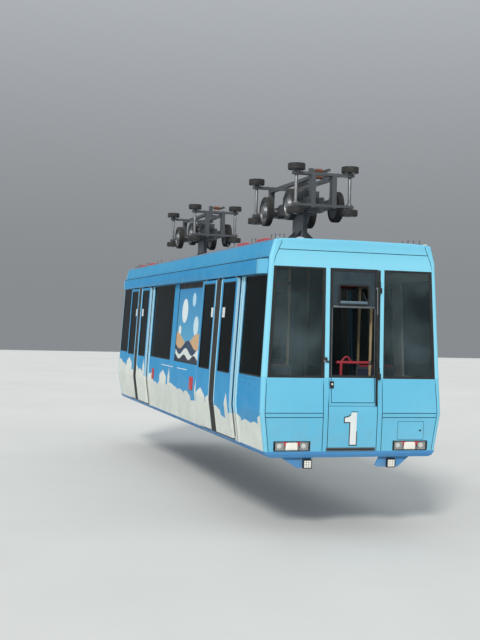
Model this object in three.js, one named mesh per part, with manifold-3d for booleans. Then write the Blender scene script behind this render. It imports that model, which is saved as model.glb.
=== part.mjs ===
// Suspended monorail car: a cabin that hangs under two bogies, which run inside a box beam.
// Millimetres, +Z up, +X towards the front end, +Y to the left. The origin is on the running
// surface under the wheels, over the middle of the cabin.

import * as THREE from 'three';
import { mergeVertices } from 'three/addons/utils/BufferGeometryUtils.js';
import Module from 'manifold-3d';

const wasm = await Module();
wasm.setup();

// Driving dimensions

const CABIN_DROP = 2780;      // running surface down to the lower edge of the side walls
const WALL = 45;              // thickness of every cabin wall
const POST_DEPTH = 50;        // how far an end wall wraps round the corner
const SEAT_GAP = 0.3;         // between pieces that rest on each other
const RUNNING_GAP = 0.5;      // between a slider or a collar and what carries it
const CLEARANCE = 5;          // between pieces that move past each other

// Cabin outline. Columns: height over the side wall's edge, half width there, half length there.
const LEVELS = [
  { at: 'sill', z: 0, y: 1057, x: 4580 },
  { at: 'knee', z: 444, y: 1119, x: 4600 },
  { at: 'belt', z: 836, y: 1105, x: 4569 },
  { at: 'fairing', z: 2211, y: 1030, x: 4525 },
  { at: 'eaves', z: 2414, y: 975, x: 4519 },
  { at: 'shoulder', z: 2434, y: 840, x: 4518 },
  { at: 'crown', z: 2440, y: 0, x: 4518 },
];
const [SILL, KNEE, BELT, FAIRING, EAVES, SHOULDER, CROWN] = LEVELS;
const FLOOR_TOP = 50;
const SKIRT_BOTTOM = -70;

// Doors
const DOOR_CENTRE = 2632;
const LEAF_WIDTH = 843;
const LEAF_BOTTOM = 35;
const LEAF_TOP = 2000;
const LEAF_STANDOFF = 20;     // wall face to the leaf's inner face
const LEAF_THICKNESS = 35;
const RUBBER_WIDTH = 118;
const RUBBER_PROUD = 8;
const LEAF_GLASS = { inner: 200, outer: 775, bottom: 820, top: 1960, recess: 12 };
const PORTAL_HALF = 767;
const PORTAL_TOP = 1950;
const TRIM_POST = { near: 878, far: 1008, proud: 12 };

// Cover of the door gear
const HEADER = {
  bottom: 2020, top: 2190, lowProud: 1104, highProud: 1098, taperFrom: 4300, half: 4465, tipProud: 1046,
};
const TRACK = { centre: 1079, neck: 9, hollow: 17, bottom: 2065, top: 2115, half: 4250 };
const HANGER = { fin: 4, head: 12, height: 35, width: 90, inset: 70 };

// Windows of one side. Columns: name, from x, to x.
const SIDE_WINDOWS = [
  { name: 'fore', from: 3646, to: 5000 },
  { name: 'mid_fore', from: 150, to: 1618 },
  { name: 'mid_aft', from: -1618, to: -150 },
  { name: 'aft', from: -5000, to: -3646 },
];
const WINDOW_TOP = 2012;
const PANE = 12;
const PANE_RECESS = 6;

// End walls
const END_WINDOW = { inner: 375, lowOuter: 1050, highOuter: 990, bottom: 840, top: 2110 };
const END_DOOR = { half: 300, bottom: 520, top: 2110, hingeY: 314, hingeOut: 18 };
const HINGE = { radius: 12, height: 70, levels: [900, 1900], leafFrom: 265, wallTo: 345 };
const END_GLASS = { half: 235, bottom: 850, top: 2060, recess: 12 };
const LAMPS = { from: 510, to: 965, bottom: 5, top: 120, recess: 30, proud: 6 };

// Bogies
const BOGIE_CENTRE = 2600;
const AXLE_HALF = 500;
const WHEEL_R = 200;
const WHEEL_FROM = 265;
const WHEEL_TO = 355;
const ROLLER_X = 830;
const ROLLER_Y = 360;
const ROLLER_R = 110;
const SHAFT_R = 35;
const SPINDLE_R = 22;
const PIN_R = 50;
const SHAFT_PLAY = 0.9;       // hole radius over shaft radius, so that the facets stay clear
const PIN_PLAY = 1.5;
const SIDES_OF = { wheel: 18, roller: 12, pin: 16, tube: 6 };

const COLOURS = {
  cyan: 0x6ec3e6,
  blue: 0x3c96cd,
  skirt: 0x4b91d2,
  white: 0xe1e4dc,
  glass: 0x10161a,
  rubber: 0x18191b,
  steel: 0x565b60,
  red: 0xd24650,
  seat: 0x9aa4b0,
  lamp: 0xe8e6da,
  grey: 0x8b9094,
};

function paint(colour, roughness = 0.45, metalness = 0.0) {
  return new THREE.MeshStandardMaterial({ color: COLOURS[colour], roughness, metalness });
}

// Shapes

function toSolid(geometry) {
  const bare = geometry.index ? geometry.toNonIndexed() : geometry.clone();
  bare.deleteAttribute('normal');
  bare.deleteAttribute('uv');
  const merged = mergeVertices(bare, 1e-3);
  const corners = merged.index.array;
  const kept = [];
  for (let i = 0; i < corners.length; i += 3) {
    const [a, b, c] = [corners[i], corners[i + 1], corners[i + 2]];
    if (a !== b && b !== c && c !== a) {
      kept.push(a, b, c);
    }
  }
  const vertProperties = new Float32Array(merged.attributes.position.array);
  const outward = signedVolume(vertProperties, kept) > 0;
  const triVerts = new Uint32Array(outward ? kept : kept.reverse());
  return new wasm.Manifold(new wasm.Mesh({ numProp: 3, vertProperties, triVerts }));
}

function signedVolume(places, corners) {
  const point = (i) => new THREE.Vector3().fromArray(places, 3 * i);
  let total = 0;
  for (let i = 0; i < corners.length; i += 3) {
    total += point(corners[i]).dot(point(corners[i + 1]).cross(point(corners[i + 2])));
  }
  return total / 6;
}

function toGeometry(solid) {
  const { vertProperties, triVerts } = solid.getMesh();
  const geometry = new THREE.BufferGeometry();
  geometry.setAttribute('position', new THREE.BufferAttribute(vertProperties, 3));
  geometry.setIndex(new THREE.BufferAttribute(triVerts, 1));
  const flat = geometry.toNonIndexed();
  flat.computeVertexNormals();
  return flat;
}

function prism(outline, depth, xAxis, yAxis, start) {
  const shape = new THREE.Shape(outline.map(([u, v]) => new THREE.Vector2(u, v)));
  const geometry = new THREE.ExtrudeGeometry(shape, { depth, bevelEnabled: false });
  const zAxis = new THREE.Vector3().crossVectors(xAxis, yAxis);
  const place = new THREE.Matrix4().makeBasis(xAxis, yAxis, zAxis).setPosition(start);
  return toSolid(geometry.applyMatrix4(place));
}

const X = new THREE.Vector3(1, 0, 0);
const Y = new THREE.Vector3(0, 1, 0);
const Z = new THREE.Vector3(0, 0, 1);

// outline in (y, z), carried along x
function alongX(outline, from, to) {
  return prism(outline, to - from, Y, Z, new THREE.Vector3(from, 0, 0));
}

// outline in (x, z), carried along y
function alongY(outline, from, to) {
  return prism(outline, to - from, X, Z, new THREE.Vector3(0, to, 0));
}

// outline in (x, y), carried up along z
function alongZ(outline, from, to) {
  return prism(outline, to - from, X, Y, new THREE.Vector3(0, 0, from));
}

function box(x0, x1, y0, y1, z0, z1) {
  const geometry = new THREE.BoxGeometry(x1 - x0, y1 - y0, z1 - z0);
  return toSolid(geometry.translate((x0 + x1) / 2, (y0 + y1) / 2, (z0 + z1) / 2));
}

// a round bar between two points
function bar(radius, from, to, sides) {
  const start = new THREE.Vector3(...from);
  const run = new THREE.Vector3(...to).sub(start);
  const geometry = new THREE.CylinderGeometry(radius, radius, run.length(), sides);
  geometry.translate(0, run.length() / 2, 0);
  geometry.applyQuaternion(new THREE.Quaternion().setFromUnitVectors(Y, run.clone().normalize()));
  return toSolid(geometry.translate(...from));
}

// a profile of (radius, height) turned round Y, or round Z when upright
function turned(profile, sides, upright = false) {
  const geometry = new THREE.LatheGeometry(profile.map(([r, h]) => new THREE.Vector2(r, h)), sides);
  if (upright) {
    geometry.rotateX(Math.PI / 2);
  }
  return toSolid(geometry);
}

const join = (solids) => solids.reduce((whole, next) => whole.add(next));
const cut = (solid, tools) => tools.reduce((rest, tool) => rest.subtract(tool), solid);

function named(name, solid, material) {
  const mesh = new THREE.Mesh(toGeometry(solid), material);
  mesh.name = name;
  return mesh;
}

// Cabin outline at a height

function between(height, column) {
  const above = LEVELS.findIndex((level) => level.z >= height);
  const high = LEVELS[Math.max(above, 1)];
  const low = LEVELS[Math.max(above, 1) - 1];
  return low[column] + ((high[column] - low[column]) * (height - low.z)) / (high.z - low.z);
}
const wallY = (height) => between(height, 'y');
const endX = (height) => between(height, 'x');

// points (value, height) of the outline from one height to another, moved inwards
function outlineRun(column, bottom, top, inset) {
  const inside = LEVELS.filter((level) => level.z > bottom && level.z < top).map((level) => level.z);
  return [bottom, ...inside, top].map((height) => [between(height, column) - inset, height]);
}

// a layer of the end wall, seen from the side: from one inset to a deeper one
function endLayer(bottom, top, outer, inner) {
  const front = outlineRun('x', bottom, top, outer);
  const back = outlineRun('x', bottom, top, inner).reverse();
  return [...front, ...back];
}

// a layer of the right-hand side wall, seen along the car
function sideLayer(bottom, top, outer, inner) {
  const face = outlineRun('y', bottom, top, outer);
  const lining = outlineRun('y', bottom, top, inner).reverse();
  return [...face, ...lining].map(([y, z]) => [-y, z]);
}

function mirroredAcross(half) {
  return [...half, ...half.filter(([y]) => y !== 0).map(([y, z]) => [-y, z]).reverse()];
}

const bodySection = mirroredAcross(LEVELS.map(({ y, z }) => [y, z]));
const pocketSection = mirroredAcross([
  [SILL.y - WALL, WALL],
  [KNEE.y - WALL, KNEE.z],
  [BELT.y - WALL, BELT.z],
  [FAIRING.y - WALL, FAIRING.z],
  [EAVES.y - WALL, CROWN.z - 1.5 * WALL],
  [0, CROWN.z - WALL],
]);

// everything between the two end walls
const endInset = POST_DEPTH + SEAT_GAP;
const lengthOutline = [
  ...outlineRun('x', SILL.z, CROWN.z, endInset),
  ...outlineRun('x', SILL.z, CROWN.z, endInset).map(([x, z]) => [-x, z]).reverse(),
];
const betweenEnds = alongY(lengthOutline, -1300, 1300);

// Side walls, glass and covers, all made for the right-hand side

function sideWall() {
  const tools = [];
  for (const centre of [-DOOR_CENTRE, DOOR_CENTRE]) {
    tools.push(box(centre - PORTAL_HALF, centre + PORTAL_HALF, -1300, -900, -10, PORTAL_TOP));
  }
  for (const { from, to } of SIDE_WINDOWS) {
    tools.push(box(from, to, -1300, -900, BELT.z, WINDOW_TOP));
  }
  const shell = alongX(sideLayer(SILL.z, FAIRING.z - SEAT_GAP, 0, WALL), -5000, 5000);
  const posts = [];
  const postOutline = sideLayer(SILL.z, WINDOW_TOP, -TRIM_POST.proud, 1);
  for (const centre of [-DOOR_CENTRE, DOOR_CENTRE]) {
    posts.push(alongX(postOutline, centre - TRIM_POST.far, centre - TRIM_POST.near));
    posts.push(alongX(postOutline, centre + TRIM_POST.near, centre + TRIM_POST.far));
  }
  return join([cut(shell, tools), ...posts]).intersect(betweenEnds);
}

function sidePane({ from, to }) {
  const low = BELT.z + SEAT_GAP;
  const high = WINDOW_TOP - SEAT_GAP;
  const sheet = sideLayer(low, high, PANE_RECESS, PANE_RECESS + PANE);
  const inset = endInset + SEAT_GAP;
  const room = [
    ...outlineRun('x', low, high, inset),
    ...outlineRun('x', low, high, inset).map(([x, z]) => [-x, z]).reverse(),
  ];
  const pane = alongX(sheet, from + SEAT_GAP, to - SEAT_GAP);
  return pane.intersect(alongY(room, -1300, -900));
}

function doorHeader() {
  const seat = [HEADER.bottom, HEADER.top].map((z) => [-(wallY(z) + SEAT_GAP), z]);
  const face = [[-HEADER.highProud, HEADER.top], [-HEADER.lowProud, HEADER.bottom]];
  const plan = [
    [-HEADER.half, -HEADER.tipProud], [-HEADER.taperFrom, -HEADER.lowProud],
    [HEADER.taperFrom, -HEADER.lowProud], [HEADER.half, -HEADER.tipProud],
    [HEADER.half, -900], [-HEADER.half, -900],
  ];
  const cover = alongX([...seat, ...face], -HEADER.half, HEADER.half)
    .intersect(alongZ(plan, HEADER.bottom - 1, HEADER.top + 1));
  const y = -TRACK.centre;
  const neck = box(-TRACK.half, TRACK.half, y - TRACK.neck, y + TRACK.neck, HEADER.bottom - 1, TRACK.bottom + 1);
  const hollow = box(-TRACK.half, TRACK.half, y - TRACK.hollow, y + TRACK.hollow, TRACK.bottom, TRACK.top);
  return cut(cover, [neck, hollow]);
}

// One door leaf, closed; it lies on the side of the door's middle that the sign gives
function doorLeaf(centre, sign) {
  const across = (a, b) => [centre + sign * a, centre + sign * b].sort((p, q) => p - q);
  const plate = (outer, inner, bottom, top, a, b) => {
    const [x0, x1] = across(a, b);
    return alongX(sideLayer(bottom, top, -outer, -inner), x0, x1);
  };
  const skin = LEAF_STANDOFF + LEAF_THICKNESS;
  const glass = LEAF_GLASS;
  const panel = plate(skin, LEAF_STANDOFF, LEAF_BOTTOM, LEAF_TOP, CLEARANCE / 2, LEAF_WIDTH);
  const outerPocket = plate(skin + 1, skin - glass.recess, glass.bottom, glass.top, glass.inner, glass.outer);
  const innerPocket = plate(
    LEAF_STANDOFF + glass.recess, LEAF_STANDOFF - 1, glass.bottom, glass.top, glass.inner, glass.outer);
  const rubber = plate(skin + RUBBER_PROUD, skin - 1, LEAF_BOTTOM, LEAF_TOP, CLEARANCE / 2, RUBBER_WIDTH);
  const hangers = [];
  for (const place of [HANGER.inset, LEAF_WIDTH - HANGER.inset - HANGER.width]) {
    const [x0, x1] = across(place, place + HANGER.width);
    const y = -TRACK.centre;
    const rest = TRACK.bottom + RUNNING_GAP;
    hangers.push(box(x0, x1, y - HANGER.fin, y + HANGER.fin, LEAF_TOP - 10, rest + 5));
    hangers.push(box(x0, x1, y - HANGER.head, y + HANGER.head, rest, rest + HANGER.height));
  }
  return join([cut(panel, [outerPocket, innerPocket]), rubber, ...hangers]);
}

// End walls, made for the front end

function windowOutline(side, shrink) {
  const w = END_WINDOW;
  return [
    [side * (w.inner + shrink), w.bottom + shrink],
    [side * (w.lowOuter - shrink), w.bottom + shrink],
    [side * (w.highOuter - shrink), w.top - shrink],
    [side * (w.inner + shrink), w.top - shrink],
  ];
}

function hingePoint(height) {
  const slope = (FAIRING.x - BELT.x) / (FAIRING.z - BELT.z);
  return [BELT.x + END_DOOR.hingeOut + slope * (height - BELT.z), END_DOOR.hingeY, height];
}

function endWall() {
  const slab = alongY(endLayer(SILL.z, CROWN.z, 0, POST_DEPTH), -1300, 1300);
  const body = slab.intersect(alongX(bodySection, 4000, 5000));
  const behind = alongY(endLayer(SILL.z, CROWN.z, WALL, 2 * POST_DEPTH), -1300, 1300);
  const pocket = behind.intersect(alongX(pocketSection, 4000, 5000));
  const tools = [pocket];
  for (const side of [-1, 1]) {
    tools.push(alongX(windowOutline(side, 0), 4000, 5000));
    const [y0, y1] = [side * LAMPS.from, side * LAMPS.to].sort((a, b) => a - b);
    tools.push(alongY(endLayer(LAMPS.bottom, LAMPS.top, -20, LAMPS.recess), y0, y1));
  }
  const d = END_DOOR;
  tools.push(box(4000, 5000, -d.half, d.half, d.bottom, d.top));
  const barrels = [];
  for (const level of HINGE.levels) {
    const low = level - HINGE.height;
    const [x] = hingePoint((low + level) / 2);
    barrels.push(bar(HINGE.radius, hingePoint(low), hingePoint(level), SIDES_OF.roller));
    barrels.push(box(x - d.hingeOut - 3, x, d.half + 5, HINGE.wallTo, low + 3, level - 3));
  }
  return join([cut(body, tools), ...barrels]);
}

function endPane(side) {
  const low = END_WINDOW.bottom;
  const high = END_WINDOW.top;
  const sheet = alongY(endLayer(low, high, PANE_RECESS, PANE_RECESS + PANE), -1300, 1300);
  return sheet.intersect(alongX(windowOutline(side, SEAT_GAP), 4000, 5000));
}

function endDoor() {
  const d = END_DOOR;
  const half = d.half - CLEARANCE;
  const panel = alongY(endLayer(d.bottom + CLEARANCE, d.top - CLEARANCE, 0, WALL), -half, half);
  const g = END_GLASS;
  const outerPocket = alongY(endLayer(g.bottom, g.top, -20, g.recess), -g.half, g.half);
  const innerPocket = alongY(endLayer(g.bottom, g.top, WALL - g.recess, WALL + 20), -g.half, g.half);
  const knuckles = [];
  for (const level of HINGE.levels) {
    const low = level + RUNNING_GAP;
    const [x, y] = hingePoint(low + HINGE.height / 2);
    knuckles.push(bar(HINGE.radius, hingePoint(low), hingePoint(low + HINGE.height), SIDES_OF.roller));
    const top = low + HINGE.height - 3;
    knuckles.push(box(x - d.hingeOut - 3, x + 4, HINGE.leafFrom, half - 3, low + 3, top));
    knuckles.push(box(x - HINGE.radius + 1, x + 4, HINGE.leafFrom, y, low + 3, top));
  }
  return join([cut(panel, [outerPocket, innerPocket]), ...knuckles]);
}

function headlamps(side) {
  const gap = SEAT_GAP;
  const lay = (a, b, outer) => {
    const [y0, y1] = [side * a, side * b].sort((p, q) => p - q);
    const low = LAMPS.bottom + gap;
    const high = LAMPS.top - gap;
    return alongY(endLayer(low, high, -outer, LAMPS.recess - gap), y0, y1);
  };
  const tray = lay(LAMPS.from + gap, LAMPS.to - gap, 0);
  const width = (LAMPS.to - LAMPS.from) / 3;
  const lenses = [0, 1, 2].map((i) => lay(
    LAMPS.from + i * width + 12, LAMPS.from + (i + 1) * width - 12, LAMPS.proud));
  return join([tray, ...lenses]);
}

// Underframe with the lamp brackets, floor and roof

const SKIRT = { top: 2, knee: 35, kneeZ: -55, foot: 75 };
const skirtSection = mirroredAcross([
  [SILL.y - SKIRT.top, -SEAT_GAP],
  [SILL.y - SKIRT.knee, SKIRT.kneeZ],
  [SILL.y - SKIRT.foot, SKIRT_BOTTOM],
]);

// Brackets under each end. Columns: outline in (y, z), and the lamp's middle across the car.
const BRACKETS = [
  { outline: [[-846, -69], [-470, -69], [-470, -110], [-595, -193], [-645, -193]], lamp: -528 },
  { outline: [[372, -69], [758, -69], [612, -193], [372, -193], [312, -172]], lamp: 512 },
];
const BRACKET_X = 4520;
const LAMP_SIZE = { half: 52, top: -96, bottom: -196, depth: 40 };
const UNDER_CELLS = { count: 7, pitch: 1270, length: 1130, inner: 60, outer: 860, depth: 30 };

function underframe() {
  const ends = [
    [SILL.x, -SEAT_GAP], [SILL.x - 2, -30], [SILL.x - 22, SKIRT_BOTTOM],
    [-SILL.x + 22, SKIRT_BOTTOM], [-SILL.x + 2, -30], [-SILL.x, -SEAT_GAP],
  ];
  const pan = alongX(skirtSection, -5000, 5000).intersect(alongY(ends, -1300, 1300));
  const cells = [];
  for (let i = 0; i < UNDER_CELLS.count; i += 1) {
    const middle = (i - (UNDER_CELLS.count - 1) / 2) * UNDER_CELLS.pitch;
    const [x0, x1] = [middle - UNDER_CELLS.length / 2, middle + UNDER_CELLS.length / 2];
    const top = SKIRT_BOTTOM + UNDER_CELLS.depth;
    cells.push(box(x0, x1, UNDER_CELLS.inner, UNDER_CELLS.outer, SKIRT_BOTTOM - 1, top));
    cells.push(box(x0, x1, -UNDER_CELLS.outer, -UNDER_CELLS.inner, SKIRT_BOTTOM - 1, top));
  }
  const brackets = [];
  for (const end of [-1, 1]) {
    for (const { outline, lamp } of BRACKETS) {
      const turnedOutline = outline.map(([y, z]) => [end * y, z]);
      const [x0, x1] = [end * (BRACKET_X - 12), end * BRACKET_X].sort((a, b) => a - b);
      brackets.push(alongX(turnedOutline, x0, x1));
      const [l0, l1] = [end * (BRACKET_X - 2), end * (BRACKET_X + LAMP_SIZE.depth)].sort((a, b) => a - b);
      const y = end * lamp;
      brackets.push(box(l0, l1, y - LAMP_SIZE.half, y + LAMP_SIZE.half, LAMP_SIZE.bottom, LAMP_SIZE.top));
    }
  }
  return join([cut(pan, cells), ...brackets]);
}

function floor() {
  const inner = SILL.y - WALL - SEAT_GAP;
  const slabs = [box(-5000, 5000, -inner, inner, 0, FLOOR_TOP)];
  const reach = PORTAL_HALF - SEAT_GAP;
  for (const centre of [-DOOR_CENTRE, DOOR_CENTRE]) {
    slabs.push(box(centre - reach, centre + reach, -SILL.y, SILL.y, 0, FLOOR_TOP));
  }
  return join(slabs).intersect(betweenEnds);
}

const CEILING = { edge: [EAVES.y - WALL, 2380], middle: 2395 };
const ROOF_PAD = { halfX: 450, halfY: 330, top: 2465 };
// Blocks along the roof's edges, on both sides of each pad. Columns: from x, to x at the front end.
const ROOF_BLOCKS = [{ from: 2690, to: 3030 }, { from: 3530, to: 3875 }];
const ROOF_BLOCK = { inner: 820, outer: 890, bottom: 2415, top: 2470 };

function roof() {
  const outer = [
    [FAIRING.y, FAIRING.z], [EAVES.y, EAVES.z], [SHOULDER.y, SHOULDER.z], [CROWN.y, CROWN.z],
  ];
  const inner = [[0, CEILING.middle], CEILING.edge, [FAIRING.y - WALL, FAIRING.z]];
  const halfSection = [...outer, ...inner];
  const leftHalf = alongX(halfSection, -5000, 5000);
  const rightHalf = alongX(halfSection.map(([y, z]) => [-y, z]), -5000, 5000);
  const extras = [];
  for (const end of [-1, 1]) {
    const x = end * BOGIE_CENTRE;
    const pad = ROOF_PAD;
    extras.push(box(x - pad.halfX, x + pad.halfX, -pad.halfY, pad.halfY, CEILING.middle + 20, pad.top));
    const block = ROOF_BLOCK;
    for (const { from, to } of ROOF_BLOCKS) {
      const [x0, x1] = [end * from, end * to].sort((a, b) => a - b);
      extras.push(box(x0, x1, block.inner, block.outer, block.bottom, block.top));
      extras.push(box(x0, x1, -block.outer, -block.inner, block.bottom, block.top));
    }
  }
  return join([join([leftHalf, rightHalf]).intersect(betweenEnds), ...extras]);
}

// Seats and handrails

const SEAT = { low: 400, high: 480, depth: 430, back: 60, backTop: 940, plinth: 240 };

// One double seat across the car; facing is +1 towards the front end
function crossSeat(backX, facing, from, to) {
  const span = (a, b) => [backX + facing * a, backX + facing * b].sort((p, q) => p - q);
  const [c0, c1] = span(0, SEAT.depth);
  const [b0, b1] = span(0, SEAT.back);
  const [p0, p1] = span(60, 60 + SEAT.plinth);
  return join([
    box(c0, c1, from, to, SEAT.low, SEAT.high),
    box(b0, b1, from, to, SEAT.low, SEAT.backTop),
    box(p0, p1, from + 80, to - 80, FLOOR_TOP + SEAT_GAP, SEAT.low + 5),
  ]);
}

const BENCH = { half: 1500, wall: -1000, front: -560, backTop: 850, back: 45 };

function wallBench() {
  const b = BENCH;
  return join([
    box(-b.half, b.half, b.wall, b.front, SEAT.low, SEAT.high),
    box(-b.half, b.half, b.wall, b.wall + b.back, SEAT.low, b.backTop),
    box(-b.half + 60, b.half - 60, b.wall + 30, b.front - 90, FLOOR_TOP + SEAT_GAP, SEAT.low + 5),
  ]);
}

const RAIL = {
  radius: 17, ceiling: 1952, pole: 470, low: 940, seatBack: 3590, vestibule: 1700,
  endX: 4330, endLow: 1015, endPole: 310, endPost: 58, endReach: 117, wall: 930,
};

// The rails of the right-hand side, with the set in front of the rear end door
function handrails() {
  const foot = FLOOR_TOP + SEAT_GAP;
  const head = (y) => CEILING.middle - ((CEILING.middle - CEILING.edge[1]) * Math.abs(y)) / CEILING.edge[0] - 1.5;
  const { radius: r, ceiling: high, low, endX: x } = RAIL;
  const y = -RAIL.pole;
  const pole = -RAIL.endPole;
  const runs = [
    [[-x - r, y, high], [RAIL.seatBack, y, high]],
    [[-x, y, high], [-x, pole, high]],
    [[-x, pole, foot], [-x, pole, head(pole)]],
    [[-x, RAIL.endPost, foot], [-x, RAIL.endPost, RAIL.endLow]],
    [[-x, RAIL.endReach, RAIL.endLow], [-x, pole, RAIL.endLow]],
  ];
  for (const at of [-RAIL.seatBack, -RAIL.vestibule, RAIL.vestibule, RAIL.seatBack]) {
    runs.push([[at, y, foot], [at, y, head(y)]]);
  }
  for (const at of [-RAIL.seatBack, RAIL.seatBack]) {
    runs.push([[at, y, low], [at, -RAIL.wall, low]]);
    runs.push([[at, -RAIL.wall, low + r], [at, -RAIL.wall, foot]]);
  }
  return join(runs.map(([from, to]) => bar(r, from, to, SIDES_OF.tube)));
}

// Hanger: base plate on the roof, blade through the beam's slot, kingpin through the bolster

const HANG = {
  baseX: 400, baseY: 290, base: 25, bladeX: 210, bladeY: 30, bladeTop: 118,
  gussetX: 130, gusset: 30, gussetLow: 255, collarR: 90, collar: 35, pinTop: 375,
};
const BOLSTER = { halfX: 165, halfY: 175, bottom: 130, top: 310 };

function hanger() {
  const foot = ROOF_PAD.top - CABIN_DROP + SEAT_GAP;
  const plate = foot + HANG.base;
  const throat = plate + 200;
  const parts = [
    box(-HANG.baseX, HANG.baseX, -HANG.baseY, HANG.baseY, foot, plate),
    box(-HANG.bladeX, HANG.bladeX, -HANG.bladeY, HANG.bladeY, plate - 1, HANG.bladeTop),
    bar(PIN_R, [0, 0, HANG.bladeTop - 1], [0, 0, HANG.pinTop], SIDES_OF.pin),
    bar(HANG.collarR, [0, 0, BOLSTER.top + RUNNING_GAP], [0, 0, BOLSTER.top + HANG.collar], SIDES_OF.pin),
  ];
  for (const x of [-HANG.gussetX, HANG.gussetX]) {
    const outline = [
      [-HANG.gussetLow, plate - 1], [HANG.gussetLow, plate - 1],
      [HANG.bladeY, throat], [-HANG.bladeY, throat],
    ];
    parts.push(alongX(outline, x - HANG.gusset / 2, x + HANG.gusset / 2));
  }
  return join(parts);
}

// Bogie frame with its two motors and the current collectors

const BEAM = { inner: 110, outer: 170, bottom: 140, top: 260, half: 870 };
const DECK = { bottom: 150, top: 185, from: 785, to: 875, reach: 405 };
const TOP_DECK = { bottom: 545, top: 580 };
const MOTOR = { from: 175, to: 425, half: 105, bottom: 150, top: 400 };
const GEARBOX = { from: 415, to: 585, bottom: 115, top: 300 };

function bogieFrame() {
  const parts = [box(-BOLSTER.halfX, BOLSTER.halfX, -BOLSTER.halfY, BOLSTER.halfY, BOLSTER.bottom, BOLSTER.top)];
  for (const side of [-1, 1]) {
    const [y0, y1] = [side * BEAM.inner, side * BEAM.outer].sort((a, b) => a - b);
    parts.push(box(-BEAM.half, BEAM.half, y0, y1, BEAM.bottom, BEAM.top));
    parts.push(box(-BEAM.half, BEAM.half, y0, y1, TOP_DECK.bottom - 45, TOP_DECK.bottom + 1));
  }
  for (const end of [-1, 1]) {
    const run = (from, to) => [end * from, end * to].sort((a, b) => a - b);
    const [d0, d1] = run(DECK.from, DECK.to);
    parts.push(box(d0, d1, -DECK.reach, DECK.reach, DECK.bottom, DECK.top));
    parts.push(box(d0, d1, -DECK.reach, DECK.reach, TOP_DECK.bottom, TOP_DECK.top));
    for (const side of [-1, 1]) {
      const [y0, y1] = [side * BEAM.inner, side * BEAM.outer].sort((a, b) => a - b);
      parts.push(box(d0, d1, y0, y1, BEAM.bottom, TOP_DECK.top));
    }
    const [m0, m1] = run(MOTOR.from - 20, MOTOR.to);
    parts.push(box(m0, m1, -MOTOR.half, MOTOR.half, MOTOR.bottom, MOTOR.top));
    const [g0, g1] = run(GEARBOX.from, GEARBOX.to);
    parts.push(box(g0, g1, -BEAM.inner - 5, BEAM.inner + 5, GEARBOX.bottom, GEARBOX.top));
  }
  parts.push(...collector());
  const holes = [bar(PIN_R + PIN_PLAY, [0, 0, 0], [0, 0, 500], SIDES_OF.pin)];
  for (const end of [-1, 1]) {
    const x = end * AXLE_HALF;
    holes.push(bar(SHAFT_R + SHAFT_PLAY, [x, -400, WHEEL_R], [x, 400, WHEEL_R], SIDES_OF.wheel));
    for (const side of [-1, 1]) {
      const [rollerX, rollerY] = [end * ROLLER_X, side * ROLLER_Y];
      holes.push(bar(
        SPINDLE_R + SHAFT_PLAY, [rollerX, rollerY, 100], [rollerX, rollerY, 700], SIDES_OF.roller));
    }
  }
  return cut(join(parts), holes);
}

const COLLECTOR = { shoes: [-90, 90], arm: 330, low: 640, high: 760 };

function collector() {
  const mast = box(-25, 25, BEAM.inner, BEAM.outer, TOP_DECK.bottom - 1, COLLECTOR.high);
  const arms = [COLLECTOR.low, COLLECTOR.high - 40].map((z) => (
    box(-20, 20, BEAM.outer - 1, COLLECTOR.arm, z, z + 25)));
  const shoes = [COLLECTOR.low, COLLECTOR.high - 40].map((z) => (
    box(-150, 150, COLLECTOR.arm - 1, COLLECTOR.arm + 30, z - 5, z + 30)));
  return [mast, ...arms, ...shoes];
}

// Wheels: profile of one wheel as (radius, distance from the car's middle plane)

const WHEEL_HALF_PROFILE = [
  [SHAFT_R, WHEEL_FROM],
  [188, WHEEL_FROM],
  [WHEEL_R, WHEEL_FROM + 12],
  [WHEEL_R, WHEEL_TO - 12],
  [188, WHEEL_TO],
  [150, WHEEL_TO],
  [145, WHEEL_TO - 25],
  [78, WHEEL_TO - 25],
  [62, WHEEL_TO + 15],
  [0, WHEEL_TO + 15],
];

function axleSet() {
  const other = WHEEL_HALF_PROFILE.map(([r, y]) => [r, -y]).reverse();
  return turned([...other, ...WHEEL_HALF_PROFILE], SIDES_OF.wheel);
}

function rollerProfile(low, high) {
  const shoulder = 8;
  return [
    [SPINDLE_R, low], [ROLLER_R - shoulder, low], [ROLLER_R, low + shoulder],
    [ROLLER_R, high - shoulder], [ROLLER_R - shoulder, high], [SPINDLE_R, high],
  ];
}

function guideRollers() {
  const lower = rollerProfile(55, 135);
  const upper = rollerProfile(600, 680);
  const collar = DECK.top + RUNNING_GAP;
  return turned([
    [0, 45], [SPINDLE_R, 45],
    ...lower,
    [SPINDLE_R, collar], [40, collar], [40, collar + 20], [SPINDLE_R, collar + 20],
    ...upper,
    [SPINDLE_R, 690], [0, 690],
  ], SIDES_OF.roller, true);
}

// Assembly

const car = new THREE.Group();
const cabin = new THREE.Group();
cabin.position.z = -CABIN_DROP;
car.add(cabin);

cabin.add(named('underframe', underframe(), paint('skirt')));
cabin.add(named('floor', floor(), paint('grey', 0.8)));
cabin.add(named('roof', roof(), paint('blue')));

// Sides. Columns: name, turn about the vertical, sign of what lies forward once turned.
const SIDES = [
  { name: 'right', turn: 0, sign: 1 },
  { name: 'left', turn: Math.PI, sign: -1 },
];
const forward = (sign) => (sign > 0 ? 'front' : 'rear');
const leafEnd = (sign) => (sign > 0 ? 'fore' : 'aft');
const turnedName = { fore: 'aft', aft: 'fore', mid_fore: 'mid_aft', mid_aft: 'mid_fore' };

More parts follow.
